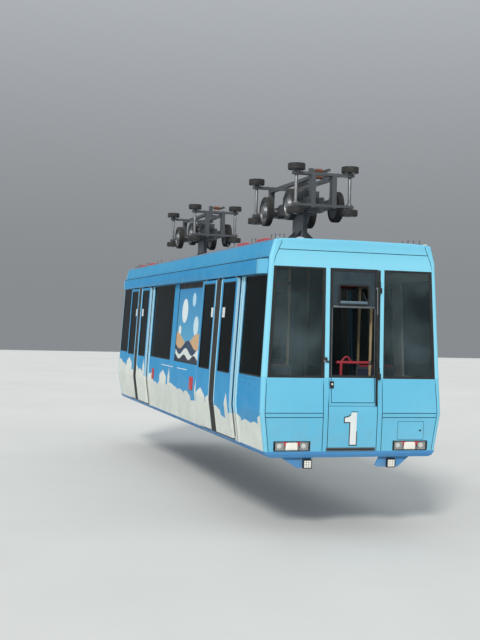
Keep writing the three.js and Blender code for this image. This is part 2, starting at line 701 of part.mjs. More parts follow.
for (const { name, turn, sign } of SIDES) {
  const side = new THREE.Group();
  side.rotation.z = turn;
  cabin.add(side);
  side.add(named(`side_wall_${name}`, sideWall(), paint('blue')));
  side.add(named(`door_header_${name}`, doorHeader(), paint('blue')));
  side.add(named(`bench_${name}`, wallBench(), paint('seat', 0.7)));
  side.add(named(`handrails_${name}`, handrails(), paint('red', 0.35)));
  for (const pane of SIDE_WINDOWS) {
    const place = sign > 0 ? pane.name : turnedName[pane.name];
    side.add(named(`window_${name}_${place}`, sidePane(pane), paint('glass', 0.08)));
  }
  for (const door of [1, -1]) {
    for (const leaf of [1, -1]) {
      const label = `door_${name}_${forward(door * sign)}_${leafEnd(leaf * sign)}`;
      side.add(named(label, doorLeaf(door * DOOR_CENTRE, leaf), paint('blue')));
    }
  }
  for (const end of [1, -1]) {
    const label = `seats_${name}_${forward(end * sign)}`;
    side.add(named(label, crossSeat(end * (RAIL.seatBack + 25), end, -970, -430), paint('seat', 0.7)));
  }
}

for (const { name, turn } of [{ name: 'front', turn: 0 }, { name: 'rear', turn: Math.PI }]) {
  const end = new THREE.Group();
  end.rotation.z = turn;
  cabin.add(end);
  end.add(named(`end_wall_${name}`, endWall(), paint('cyan')));
  end.add(named(`end_door_${name}`, endDoor(), paint('cyan')));
  for (const side of [-1, 1]) {
    const label = (side < 0) === (turn === 0) ? 'right' : 'left';
    end.add(named(`end_window_${name}_${label}`, endPane(side), paint('glass', 0.08)));
    end.add(named(`headlamps_${name}_${label}`, headlamps(side), paint('lamp', 0.2)));
  }
}

for (const { name, x } of [{ name: 'front', x: BOGIE_CENTRE }, { name: 'rear', x: -BOGIE_CENTRE }]) {
  const bogie = new THREE.Group();
  bogie.position.x = x;
  car.add(bogie);
  bogie.add(named(`hanger_${name}`, hanger(), paint('steel', 0.5, 0.4)));
  bogie.add(named(`bogie_frame_${name}`, bogieFrame(), paint('steel', 0.5, 0.4)));
  for (const end of [1, -1]) {
    const axle = named(`axle_${name}_${leafEnd(end)}`, axleSet(), paint('rubber', 0.8));
    axle.position.set(end * AXLE_HALF, 0, WHEEL_R);
    bogie.add(axle);
    for (const side of [-1, 1]) {
      const label = `rollers_${name}_${leafEnd(end)}_${side < 0 ? 'right' : 'left'}`;
      const rollers = named(label, guideRollers(), paint('rubber', 0.8));
      rollers.position.set(end * ROLLER_X, side * ROLLER_Y, 0);
      bogie.add(rollers);
    }
  }
}

export default car;
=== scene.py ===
"""Looks of a suspended monorail car, dressed round its solid model.

Metres, +X towards the front end, +Y to the left, +Z up, origin on the running surface. Details of
the cabin are laid out flat, as (outwards, along, height over the side wall's lower edge), and are
then bent onto the side or the end of the body. Everything on the left-hand side and on the rear
end is its opposite number after half a turn about Z.
"""

import math

import bmesh
import bpy
import numpy as np
from mathutils import Matrix, Vector


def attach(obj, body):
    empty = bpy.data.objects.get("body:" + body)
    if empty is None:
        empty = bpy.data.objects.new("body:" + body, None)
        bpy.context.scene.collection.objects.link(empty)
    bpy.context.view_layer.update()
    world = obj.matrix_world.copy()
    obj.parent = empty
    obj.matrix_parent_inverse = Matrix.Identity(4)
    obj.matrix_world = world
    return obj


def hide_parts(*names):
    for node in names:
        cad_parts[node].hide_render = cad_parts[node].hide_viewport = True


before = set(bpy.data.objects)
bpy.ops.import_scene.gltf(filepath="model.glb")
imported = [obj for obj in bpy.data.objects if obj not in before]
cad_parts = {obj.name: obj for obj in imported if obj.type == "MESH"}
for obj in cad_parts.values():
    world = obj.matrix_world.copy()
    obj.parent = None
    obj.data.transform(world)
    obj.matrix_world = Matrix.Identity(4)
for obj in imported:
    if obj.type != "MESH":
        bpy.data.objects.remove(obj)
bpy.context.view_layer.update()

# Driving dimensions of the cabin

DROP = 2.780
LEVEL_Z = (0.0, 0.444, 0.836, 2.211, 2.414)
LEVEL_Y = (1.057, 1.119, 1.105, 1.030, 0.975)
LEVEL_X = (4.580, 4.600, 4.569, 4.525, 4.519)
ROOF_Y = (0.0, 0.840, 0.975)
ROOF_Z = (2.440, 2.434, 2.414)
POST_DEPTH = 0.050

DOOR_CENTRE = 2.632
LEAF_WIDTH = 0.843
LEAF_BOTTOM, LEAF_TOP = 0.035, 2.000
LEAF_INNER, LEAF_OUTER = 0.020, 0.055
LEAF_GLASS = (0.200, 0.775, 0.820, 1.960)
LEAF_GAP = 0.0025
RUBBER_WIDTH = 0.118
RUBBER_PROUD = 0.007
TRIM_POST = (0.878, 1.008)
TRIM_PROUD = 0.0135
HEADER_HALF = 4.465
HEADER_JOINT = 4.230
HEADER_Z = (2.020, 2.190)
WINDOW_Z = (0.836, 2.012)
WINDOW_ENDS = 3.646
WINDOW_MIDDLE = (0.150, 1.618)
END_WRAP = 0.0503
END_WINDOW_Z = (0.840, 2.110)
END_WINDOW_INNER = 0.375
END_DOOR_HALF = 0.295
END_DOOR_Z = (0.525, 2.105)
PANEL_GROOVE = 0.366
CENTRE_GROOVE = 0.305
BELT_GROOVES = (0.390, 0.440)
CROWN_GROOVE = 2.300
LAMP_Y = (0.512, 0.955)
LAMP_Z = (0.005, 0.120)

BOGIE_X = 2.600
AXLE_HALF = 0.500
WHEEL_R = 0.200
WHEEL_Y = (0.265, 0.355)
ROLLER_X, ROLLER_Y, ROLLER_R = 0.830, 0.360, 0.110
FLOOR_Z = -3.75

SIDES = (("right", 1), ("left", -1))
ENDS = (("front", 1), ("rear", -1))


def forward(sign):
    return "front" if sign > 0 else "rear"


def leaf_end(sign):
    return "fore" if sign > 0 else "aft"


# Body outline, and how flat layouts are bent or moved onto the body


def wall_y(z):
    return np.interp(z, LEVEL_Z, LEVEL_Y)


def end_x(z):
    return np.interp(z, LEVEL_Z, LEVEL_X)


def roof_z(y):
    return np.interp(np.abs(y), ROOF_Y, ROOF_Z)


def on_side(points, turn=1):
    """(outwards, along, height) to the side wall: y is the wall's half width there plus outwards."""
    out, along, z = np.moveaxis(np.asarray(points, float), -1, 0)
    return np.stack([turn * along, -turn * (wall_y(z) + out), z - DROP], -1)


def on_end(points, turn=1):
    """(outwards, across, height) to the end wall: x is the end's reach there plus outwards."""
    out, across, z = np.moveaxis(np.asarray(points, float), -1, 0)
    return np.stack([turn * (end_x(z) + out), turn * across, z - DROP], -1)


def in_cabin(points, turn=1):
    """(x, y, height over the side wall's edge) to the shared frame."""
    return np.asarray(points, float) * (turn, turn, 1) - (0, 0, DROP)


def in_bogie(points, middle):
    """(along, across, height over the running surface) from the bogie's middle to the shared frame."""
    return np.asarray(points, float) + (middle, 0, 0)


# Surfaces as arrays. A patch is (points, list of faces); most come from a grid of points.

UP, OUT = (0, 0, 1), (1, 0, 0)


def grid_patch(points, wrap_u=False, wrap_v=False, keep=None):
    """Quads between neighbouring points of a grid; wrap joins the last row or column to the first."""
    points = np.asarray(points, float)
    nu, nv = points.shape[:2]
    i, j = np.meshgrid(np.arange(nu - (not wrap_u)), np.arange(nv - (not wrap_v)), indexing="ij")
    after_i, after_j = (i + 1) % nu, (j + 1) % nv
    quads = np.stack([i * nv + j, after_i * nv + j, after_i * nv + after_j, i * nv + after_j], -1)
    quads = quads[keep] if keep is not None else quads.reshape(-1, 4)
    return points.reshape(-1, 3), quads.tolist()


def carried(section, stations, order=(2, 0, 1)):
    """A closed section of (a, b) points carried along stations; order says what comes first to third.

    In order 0 stands for a, 1 for b and 2 for the station.
    """
    section, stations = np.asarray(section, float), np.asarray(stations, float)
    a, station = np.meshgrid(section[:, 0], stations, indexing="ij")
    b = np.broadcast_to(section[:, 1:], a.shape)
    points, faces = grid_patch(np.stack([(a, b, station)[which] for which in order], -1), wrap_u=True)
    first = [k * len(stations) for k in range(len(section))]
    return points, faces + [first[::-1], [k + len(stations) - 1 for k in first]]


def block(low, high, radius=0.003, steps=2):
    """A box with round edges: a small ball whose eight octants are pulled apart to the corners."""
    low, high = np.minimum(low, high), np.maximum(low, high)
    radius = min(radius, 0.49 * float((high - low).min()))
    turn = np.concatenate([np.linspace(q, q + 1, steps + 1) for q in range(4)]) * math.pi / 2
    tilt = np.concatenate([np.linspace(-1, 0, steps + 1), np.linspace(0, 1, steps + 1)]) * math.pi / 2
    around, rise = np.meshgrid(turn, tilt, indexing="ij")
    ball = np.stack([np.cos(around) * np.cos(rise), np.sin(around) * np.cos(rise), np.sin(rise)], -1)
    half_x, half_y, half_z = (np.repeat(signs, steps + 1) for signs in ((1, -1, -1, 1), (1, 1, -1, -1), (-1, 1)))
    signs = np.stack(np.broadcast_arrays(half_x[:, None], half_y[:, None], half_z[None, :]), -1)
    centre, half = (low + high) / 2, (high - low) / 2
    points = centre + signs * (half - radius) + radius * ball
    bottom, top = (np.broadcast_to(centre + (0, 0, side * half[2]), points[:, :1].shape) for side in (-1, 1))
    return grid_patch(np.concatenate([bottom, points, top], 1), wrap_u=True)


def turned(profile, centre, axis=UP, sides=20):
    """A profile of (radius, height) turned round an axis through centre."""
    profile = np.asarray(profile, float)
    axis = np.asarray(axis, float)
    first = np.cross(axis, (0, 1, 0) if axis[0] else (1, 0, 0))
    second = np.cross(axis, first)
    angle = np.arange(sides) * 2 * math.pi / sides
    circle = np.cos(angle)[:, None] * first + np.sin(angle)[:, None] * second
    points = profile[:, 0][:, None, None] * circle + profile[:, 1][:, None, None] * axis
    return grid_patch(points + np.asarray(centre, float), wrap_v=True)


def tube(path, radius, sides=10):
    """A circle carried along a path, square to it at each point, with flat ends."""
    path = np.asarray(path, float)
    along = np.gradient(path, axis=0)
    along /= np.linalg.norm(along, axis=1, keepdims=True)
    side = np.cross(along[0], UP)
    if np.linalg.norm(side) < 1e-3:
        side = np.array([1.0, 0.0, 0.0])
    first = np.empty_like(path)
    for row, direction in enumerate(along):
        side = side - direction * side.dot(direction)
        side /= np.linalg.norm(side)
        first[row] = side
    second = np.cross(along, first)
    angle = np.arange(sides) * 2 * math.pi / sides
    circle = first[:, None] * np.cos(angle)[None, :, None] + second[:, None] * np.sin(angle)[None, :, None]
    points, faces = grid_patch(path[:, None] + radius * circle, wrap_v=True)
    last = (len(path) - 1) * sides
    return points, faces + [list(range(sides))[::-1], list(range(last, last + sides))]


def rounded_path(corners, radius, steps=5):
    """Straight runs between corners, with each corner cut by a quadratic curve that starts radius away."""
    corners = np.asarray(corners, float)
    points = [corners[0]]
    for before, at, after in zip(corners, corners[1:], corners[2:]):
        runs = [(before - at), (after - at)]
        reach = min(radius, *(0.49 * np.linalg.norm(run) for run in runs))
        start, stop = (at + run / np.linalg.norm(run) * reach for run in runs)
        t = np.linspace(0, 1, steps)[:, None]
        points.extend((1 - t) ** 2 * start + 2 * t * (1 - t) * at + t ** 2 * stop)
    points.append(corners[-1])
    return np.array(points)


def rectangle(box, radius=0.0, steps=3):
    """A (u0, u1, v0, v1) box's outline with round corners, anticlockwise from its lower right corner."""
    u0, u1, v0, v1 = box
    if radius == 0.0:
        return np.array([(u1, v0), (u1, v1), (u0, v1), (u0, v0)])
    quarter = np.linspace(0, math.pi / 2, steps + 1)
    corners = ((u1 - radius, v0 + radius, -1), (u1 - radius, v1 - radius, 0),
               (u0 + radius, v1 - radius, 1), (u0 + radius, v0 + radius, 2))
    return np.concatenate([np.stack([u + radius * np.cos(quarter + quarters * math.pi / 2),
                                     v + radius * np.sin(quarter + quarters * math.pi / 2)], -1)
                           for u, v, quarters in corners])


def ring(outer, inner, depth):
    """A flat frame between two outlines of (across, height), from depth[0] to depth[1] outwards."""
    def at(outline, out):
        return np.insert(np.asarray(outline, float), 0, out, axis=1)
    rows = [at(outer, depth[1]), at(inner, depth[1]), at(inner, depth[0]), at(outer, depth[0])]
    return grid_patch(np.array(rows), wrap_u=True, wrap_v=True)


def inset(box, by):
    u0, u1, v0, v1 = box
    return u0 + by, u1 - by, v0 + by, v1 - by


def border(box, width, depth, outer=0.0, inner=0.0):
    """A flat frame of even width just inside a box; outer and inner are its corner radii."""
    return ring(rectangle(box, outer), rectangle(inset(box, width), inner), depth)


def gathered(patches):
    points, faces, count = [], [], 0
    for more_points, more_faces in patches:
        points.append(np.asarray(more_points, float).reshape(-1, 3))
        faces.extend([[count + k for k in face] for face in more_faces])
        count += len(points[-1])
    return np.concatenate(points), faces


# Objects: a mesh is made from patches and rides on a body.


def in_scene(name, data):
    obj = bpy.data.objects.new(name, data)
    bpy.context.scene.collection.objects.link(obj)
    return obj


def piece(name, patches, finish, body="cabin", slot=None, stands_for=(), closed=True, smooth=35):
    """One object from patches: doubles merged, normals turned outwards if it is closed, edges kept sharp."""
    points, faces = gathered(patches)
    mesh = bpy.data.meshes.new(name)
    mesh.from_pydata(points.tolist(), [], faces)
    work = bmesh.new()
    work.from_mesh(mesh)
    bmesh.ops.remove_doubles(work, verts=work.verts, dist=1e-5)
    bmesh.ops.dissolve_degenerate(work, edges=work.edges, dist=1e-6)
    if closed:
        bmesh.ops.recalc_face_normals(work, faces=work.faces)
    work.to_mesh(mesh)
    work.free()
    mesh.shade_smooth()
    mesh.set_sharp_from_angle(angle=math.radians(smooth))
    obj = in_scene(name, mesh)
    mesh.materials.append(finish)
    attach(obj, body)
    if stands_for:
        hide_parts(*stands_for)
    return obj


class Part:
    """What the pieces of one part share: label, place, its turn, body and the solids they stand for."""

    def __init__(self, label, place, turn=1, body="cabin", stands_for=()):
        self.label, self.place, self.turn, self.body, self.stands_for = label, place, turn, body, stands_for

    def add(self, name, patches, finish, stands=True, **how):
        """One piece, laid in its place; stands is False if it is only fitted to the part's solids."""
        laid = [(self.place(points, self.turn), faces) for points, faces in patches]
        nodes = self.stands_for if stands else ()
        return piece(f"{name}_{self.label}", laid, finish, self.body, stands_for=nodes, **how)


def round_edges(obj, width, segments, limit):
    rounding = obj.modifiers.new("edges", "BEVEL")
    rounding.width = width
    rounding.segments = segments
    rounding.limit_method = "ANGLE"
    rounding.angle_limit = math.radians(limit)
    return rounding


def thickened(obj, thickness, edge=0.002, segments=2):
    """Gives an open skin its wall behind the face, lined on the inside, and rounds its edges."""
    obj.data.materials.append(LINING)
    wall = obj.modifiers.new("wall", "SOLIDIFY")
    wall.thickness = thickness
    wall.offset = -1
    wall.use_even_offset = True
    wall.material_offset = 1
    round_edges(obj, edge, segments, 40).harden_normals = True


def softened(node, finish, width=0.003, segments=2):
    """A solid of the frame keeps its shape and gets its finish and small round edges."""
    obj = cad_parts[node]
    obj.data.materials.clear()
    obj.data.materials.append(finish)
    obj.modifiers.new("weld", "WELD").merge_threshold = 2e-5
    round_edges(obj, width, segments, 50)


# Finishes. A colour is three numbers from 0 to 255, as seen on a screen.


def srgb(colour):
    """The same colour as the linear light that shaders use."""
    seen = np.array(colour) / 255.0
    light = np.where(seen <= 0.04045, seen / 12.92, ((seen + 0.055) / 1.055) ** 2.4)
    return (*light.tolist(), 1.0)


class Finish:
    """A material's node tree with short calls; every pattern reads the piece's own coordinates."""

    def __init__(self, name, slot, colour, roughness=0.4, **sockets):
        self.material = bpy.data.materials.new(name)
        self.material.use_nodes = True
        self.tree = self.material.node_tree
        self.shader = self.tree.nodes["Principled BSDF"]
        self.set(self.shader, {"Base Color": srgb(colour), "Roughness": roughness})
        self.set(self.shader, {key.replace("_", " "): value for key, value in sockets.items()})
        self.place = self.add("TexCoord").outputs["Object"]

    def set(self, node, values):
        for key, value in values.items():
            if isinstance(value, bpy.types.NodeSocket):
                self.tree.links.new(value, node.inputs[key])
            else:
                node.inputs[key].default_value = value

    def add(self, kind, values=None, **settings):
        node = self.tree.nodes.new(f"ShaderNode{kind}")
        for key, value in settings.items():
            setattr(node, key, value)
        self.set(node, values or {})
        return node

    def math(self, operation, *values):
        return self.add("Math", dict(enumerate(values)), operation=operation).outputs[0]

    def mix(self, factor, first, second):
        """The first where the factor is 0, the second where it is 1; either is a colour or a socket."""
        first, second = (srgb(shade) if isinstance(shade, tuple) else shade for shade in (first, second))
        return self.add("Mix", {0: factor, 6: first, 7: second}, data_type="RGBA").outputs[2]

    def axes(self):
        """Along, across, and the height over the side wall's lower edge."""
        split = self.add("SeparateXYZ", {"Vector": self.place})
        return split.outputs[0], split.outputs[1], self.math("ADD", split.outputs[2], DROP)

    def facing_up(self):
        return self.add("SeparateXYZ", {0: self.add("NewGeometry").outputs["Normal"]}).outputs[2]

    def noise(self, scale, detail=4.0, stretch=None):
        where = self.place
        if stretch:
            where = self.add("Mapping", {"Vector": where, "Scale": stretch}).outputs[0]
        return self.add("TexNoise", {"Vector": where, "Scale": scale, "Detail": detail}).outputs["Fac"]

    def ramp(self, value, low, high, to_low=0.0, to_high=1.0):
        return self.add("MapRange", {0: value, 1: low, 2: high, 3: to_low, 4: to_high}).outputs[0]

    def mottled(self, first, second, scale=0.9, detail=3.0, low=0.35, high=0.7):
        """Two colours in clouds, blended where the noise passes from low to high."""
        return self.mix(self.ramp(self.noise(scale, detail), low, high), first, second)

    def outline(self, height, values):
        """The body's width or reach at a height: the lowest value plus one clamped ramp for each stretch."""
        total = values[0]
        for z0, z1, v0, v1 in zip(LEVEL_Z, LEVEL_Z[1:], values, values[1:]):
            total = self.math("ADD", total, self.ramp(height, z0, z1, 0.0, v1 - v0))
        return total

    def inside(self, across, height, depth=0.022):
        """1 where a point lies deeper than depth behind the body's side."""
        face = self.outline(height, LEVEL_Y)
        return self.math("LESS_THAN", self.math("ABSOLUTE", across), self.math("SUBTRACT", face, depth))

    def done(self, colour, rough, height, strength, distance=0.001):
        """Joins the colour, a roughness (low, high, scale) by noise and a bump of a height or a grain."""
        if isinstance(height, tuple):
            height = self.noise(*height)
        low, high, scale = rough
        bump = self.add("Bump", {"Height": height, "Strength": strength, "Distance": distance})
        self.set(self.shader, {"Base Color": colour, "Normal": bump.outputs[0],
                               "Roughness": self.ramp(self.noise(scale, 5.0), 0.3, 0.7, low, high)})
        return self.material


# The third front colour is a painted highlight, for the front above the sill and for the corner posts.
FRONT_BLUE, FRONT_BLUE_FADED, FRONT_HIGHLIGHT = (98, 183, 216), (112, 192, 222), (134, 210, 234)
SIDE_BLUE, SIDE_BLUE_FADED = (44, 144, 198), (58, 152, 202)
ROOF_BLUE, ROOF_BLUE_FADED = (58, 150, 196), (70, 157, 200)
SKIRT_BLUE, SKIRT_BLUE_FADED = (68, 136, 194), (80, 145, 196)
HEADER_END_BLUE = (106, 186, 220)
OFF_WHITE, OFF_WHITE_FADED = (224, 228, 219), (206, 212, 206)
# Dark of real joints and seams; on the front it is also painted shade on the grooves' floors.
SEAM_DARK_AND_GROOVE_SHADE = (14, 44, 64)
LINING_TONE = (200, 200, 192)
DUST, UNDERSIDE_GREY, PRIMER = (140, 142, 134), (58, 66, 74), (118, 84, 62)
SEAM_HALF_PITCH, BLOCK_FOOT, BLOCK_INNER_Y, CEILING = 0.60, 2.4345, 0.80, 2.398
LAMP_BOX_X, LAMP_BOX_TOP = 4.5215, -0.075
JOINT_HALF = 0.0025


def road_film(f, height, painted, low, high, most, streak=0.2):
    """Dust that thickens downwards from high to low, broken up by noise, and faint runs of rain."""
    film = f.math("MULTIPLY", f.ramp(height, high, low, 0.0, most), f.ramp(f.noise(7.0, 6.0), 0.35, 0.75))
    runs = f.math("MULTIPLY", f.ramp(f.noise(11.0, 4.0, (1.0, 1.0, 0.06)), 0.58, 0.8), streak)
    return f.mix(f.math("MAXIMUM", film, runs), painted, DUST)


def front_paint():
    """Gloss paint: faded areas, painted highlight on uprights, corners and crown, road film, painted shade in the
    grooves.
    """
    f = Finish("front_paint", "front_blue", FRONT_BLUE, 0.35, Coat_Weight=0.04, Coat_Roughness=0.2,
               Specular_IOR_Level=0.28)
    _, across, height = f.axes()
    # Painted highlight: the front is paler above the sill, less so over the crown, and on the corner posts.
    crown = f.ramp(height, 2.20, 2.40, 1.0, 0.45)
    upper_highlight = f.math("MULTIPLY", f.ramp(height, 0.83, 0.86), crown)
    corner = f.math("SUBTRACT", 0.45, f.inside(across, height, 0.052))
    pale = f.mix(f.math("MAXIMUM", upper_highlight, corner), f.mottled(FRONT_BLUE, FRONT_BLUE_FADED), FRONT_HIGHLIGHT)
    # Painted shade: where the stored mark says a groove's floor is, the paint goes dark.
    groove = f.add("Attribute", attribute_name="seam").outputs["Fac"]
    colour = f.mix(groove, road_film(f, height, pale, -0.10, 0.85, 0.22, 0.08), SEAM_DARK_AND_GROOVE_SHADE)
    return f.done(colour, (0.32, 0.50, 5.0), (90.0, 2.0), 0.06)


def livery_paint(name, slot, colour, faded):
    """Blue above and off-white below the outline of a made-up town; the lining behind it is plain.

    The edge is a slope along the car, plus low hills (triangle waves of unlike lengths), plus houses
    (a hash of the place rounded to one house's width, with a gable on each); where they rise higher,
    towers (upright walls under a pointed roof, far apart) take over.
    """
    f = Finish(name, slot, colour, Specular_IOR_Level=0.12)
    x, y, height = f.axes()

    def triangle(period, shift):
        return f.math("PINGPONG", f.math("ADD", x, shift), period / 2)

    def hills(period, shift, tall):
        return f.math("MULTIPLY", triangle(period, shift), 2 * tall / period)

    def houses(width, shift, tall, gable):
        house = f.math("SNAP", f.math("ADD", x, shift), width)
        lot = f.add("TexWhiteNoise", {"W": house}, noise_dimensions="1D").outputs["Value"]
        return f.math("ADD", f.math("MULTIPLY", lot, tall), f.math("MULTIPLY", hills(width, shift, gable), lot))

    def towers(period, shift, half, wall, roof):
        away = triangle(period, shift)
        rise = f.math("ADD", f.ramp(away, 0.0, half, roof, 0.0), wall)
        return f.math("MULTIPLY", f.math("LESS_THAN", away, half), rise)

    slope = f.ramp(x, -4.6, 4.6, 0.53, 0.17)
    town = f.math("ADD", hills(2.30, 10.2, 0.10), houses(0.36, 20.0, 0.10, 0.06))
    peaks = f.math("MAXIMUM", towers(1.74, 10.6, 0.075, 0.22, 0.14), towers(2.63, 11.1, 0.24, 0.20, 0.09))
    edge = f.math("ADD", slope, f.math("MAXIMUM", town, peaks))
    above = f.ramp(f.math("SUBTRACT", height, edge), -0.002, 0.002)
    painted = f.mix(above, f.mottled(OFF_WHITE, OFF_WHITE_FADED, 1.3, 4.0, 0.3), f.mottled(colour, faded))
    dirty = road_film(f, height, painted, -0.10, 0.60, 0.26, 0.07)
    return f.done(f.mix(f.inside(y, height), dirty, LINING_TONE), (0.35, 0.52, 4.0), (80.0, 2.0), 0.05)


def header_paint():
    """Cover of the door gear: blue, painted shade below, with a lighter piece at each end beyond a dark joint."""
    f = Finish("header_paint", None, SIDE_BLUE, Specular_IOR_Level=0.12)
    x, _, height = f.axes()
    along = f.math("ABSOLUTE", x)
    end = f.mix(f.math("GREATER_THAN", along, HEADER_JOINT), f.mottled(SIDE_BLUE, SIDE_BLUE_FADED), HEADER_END_BLUE)
    from_joint = f.math("ABSOLUTE", f.math("SUBTRACT", along, HEADER_JOINT))
    jointed = f.mix(f.math("LESS_THAN", from_joint, JOINT_HALF), end, SEAM_DARK_AND_GROOVE_SHADE)
    filmed = road_film(f, height, jointed, 2.02, 2.06, 0.18, 0.08)
    # Painted shade: faces that point down are near-black.
    colour = f.mix(f.math("LESS_THAN", f.facing_up(), -0.6), filmed, (12, 14, 16))
    return f.done(colour, (0.35, 0.52, 4.0), (80.0, 2.0), 0.05)


def roof_paint():
    """Roof: blue sides, weathered top with a seam every 1.2 m, red blocks and the plain lining below."""
    f = Finish("roof_paint", None, ROOF_BLUE, Specular_IOR_Level=0.12)
    x, y, height = f.axes()
    across = f.math("ABSOLUTE", y)
    from_seam = f.math("PINGPONG", f.math("ADD", x, 101 * SEAM_HALF_PITCH), SEAM_HALF_PITCH)
    soil = f.mottled((104, 140, 164), (112, 112, 104), 2.5, 6.0, 0.3, 0.75)
    top = f.mix(f.math("LESS_THAN", from_seam, 0.004), soil, SEAM_DARK_AND_GROOVE_SHADE)
    outside = f.mix(f.ramp(across, 0.985, 0.965), f.mottled(ROOF_BLUE, ROOF_BLUE_FADED), top)
    outboard = f.math("GREATER_THAN", across, BLOCK_INNER_Y)
    red = f.math("MULTIPLY", f.math("GREATER_THAN", height, BLOCK_FOOT), outboard)
    blocked = f.mix(red, outside, f.mottled((196, 86, 94), (166, 90, 94), 8.0, 5.0))
    under = f.math("MULTIPLY", f.math("LESS_THAN", height, CEILING), f.inside(y, height))
    return f.done(f.mix(under, blocked, LINING_TONE), (0.35, 0.6, 5.0), (50.0, 4.0), 0.12)


def skirt_paint():
    """Underframe: satin blue, dustier below, darker on faces that point down; the lamp boxes are black."""
    f = Finish("skirt_paint", "skirt_blue", SKIRT_BLUE, Specular_IOR_Level=0.3)
    x, _, height = f.axes()
    worn = f.mottled(SKIRT_BLUE, SKIRT_BLUE_FADED, 1.4, 4.0)
    dusty = road_film(f, height, worn, -0.20, 0.02, 0.4, 0.15)
    # Faces that point down are mixed towards a dark grey.
    darker_below = f.mix(f.math("MULTIPLY", f.ramp(f.facing_up(), -0.5, -0.95), 0.75), dusty, UNDERSIDE_GREY)
    ends = f.math("GREATER_THAN", f.math("ABSOLUTE", x), LAMP_BOX_X)
    box = f.math("MULTIPLY", ends, f.math("LESS_THAN", height, LAMP_BOX_TOP))
    return f.done(f.mix(box, darker_below, (24, 25, 27)), (0.35, 0.6, 6.0), (60.0, 4.0), 0.10)


FILM_DISCS = ((0.60, 1.60, 0.18, (226, 236, 238)), (1.12, 1.76, 0.10, (186, 222, 240)),
              (1.32, 1.38, 0.14, (206, 228, 238)), (0.36, 1.30, 0.08, (238, 238, 230)))
FILM_WAVES = ((1.20, 0.075, 5.1, 0.4, (206, 170, 128)), (1.10, 0.065, 6.3, 2.1, (38, 62, 92)),
              (1.00, 0.050, 8.2, 1.2, (220, 226, 222)), (0.92, 0.035, 10.5, 0.3, (24, 36, 56)))


def film_paint():
    """Made-up print for the covered window: pale discs over a blue ground, rolling waves below, painted shadow on
    top.
    """
    f = Finish("window_film", None, (84, 170, 222), 0.45, Specular_IOR_Level=0.15)
    x, y, height = f.axes()
    picture = f.mix(f.ramp(height, 0.85, 1.95), (98, 174, 208), (46, 138, 192))
    for centre_x, centre_z, radius, tone in FILM_DISCS:
        reach = [f.math("SUBTRACT", *pair) for pair in ((x, centre_x), (height, centre_z))]
        away = f.math("SQRT", f.math("ADD", *(f.math("MULTIPLY", side, side) for side in reach)))
        picture = f.mix(f.ramp(away, radius + 0.002, radius - 0.002), picture, tone)
    for level, swing, rate, shift, tone in FILM_WAVES:
        roll = f.math("SINE", f.math("ADD", f.math("MULTIPLY", x, rate), shift))
        crest = f.math("ADD", f.math("MULTIPLY", roll, swing), level)
        picture = f.mix(f.ramp(f.math("SUBTRACT", height, crest), 0.002, -0.002), picture, tone)
    # Painted shadow: a dark band along the top of the film, under the header.
    shadowed_top = f.mix(f.math("GREATER_THAN", height, 1.93), picture, (16, 20, 24))
    dusty = f.mix(f.ramp(f.noise(22.0, 4.0), 0.45, 0.8, 0.0, 0.12), shadowed_top, DUST)
    colour = f.mix(f.inside(y, height, 0.012), dusty, (60, 66, 72))
    return f.done(colour, (0.3, 0.45, 6.0), (300.0, 1.0), 0.04, 0.0005)


def glass(name, slot, tint, haze, alpha, specular=0.35):
    """Glass: two close tints in broad clouds, and wiped smears in the gloss."""
    f = Finish(name, slot, tint, Alpha=alpha, Specular_IOR_Level=specular)
    smears = f.ramp(f.noise(3.0, 6.0, (1.0, 1.0, 0.4)), 0.5, 0.8, 0.02, 0.09)
    f.set(f.shader, {"Base Color": f.mottled(tint, haze, 1.6, 4.0, 0.4, 0.75), "Roughness": smears})
    return f.material


def grainy(name, slot, colour, other, scale, rough, bump, depth=0.001, **sockets):
    """A plain finish with its own grain: two close tones, uneven gloss and a fine bump."""
    f = Finish(name, slot, colour, **sockets)
    tones = f.mottled(colour, other, scale * 0.15, 5.0, 0.3)
    return f.done(tones, (*rough, scale * 0.4), (scale, 4.0), bump, depth)


def machine_paint(name, colour, dust_tone):
    """Enamel on welded steel: dust on what faces up, chips by noise down to primer, uneven gloss."""
    f = Finish(name, "bogie_steel", colour)
    dust = f.math("MULTIPLY", f.ramp(f.facing_up(), 0.2, 1.0), f.ramp(f.noise(9.0, 6.0), 0.3, 0.7))
    chips = f.math("MULTIPLY", f.ramp(f.noise(46.0, 5.0), 0.68, 0.72), 0.6)
    return f.done(f.mix(chips, f.mix(dust, colour, dust_tone), PRIMER), (0.35, 0.6, 9.0), (60.0, 5.0), 0.2)


def seat_fabric():
    """Flat-woven seat cloth: crossing sine ribs 3 mm apart, flecks of a second yarn, dull and soft."""
    f = Finish("seat_fabric", "seat_shell", (62, 84, 116))
    wave = {"Vector": f.place, "Scale": 330.0, "Distortion": 0.4}
    ribs = [f.add("TexWave", wave, bands_direction=axis).outputs["Fac"] for axis in ("X", "Y")]
    flecks = f.math("MULTIPLY", f.ramp(f.noise(240.0, 2.0), 0.60, 0.66), 0.7)
    yarn = f.mix(flecks, (58, 80, 112), (176, 62, 66))
    rubbed = f.mix(f.ramp(f.noise(5.0, 4.0), 0.3, 0.75, 0.0, 0.35), yarn, (84, 96, 112))
    return f.done(rubbed, (0.78, 0.92, 30.0), f.math("MULTIPLY", *ribs), 0.25, 0.0008)


PAINT_FRONT = front_paint()
PAINT_SKIRT = skirt_paint()
PAINT_HEADER = header_paint()
LIVERY = livery_paint("side_livery", "door_blue", SIDE_BLUE, SIDE_BLUE_FADED)
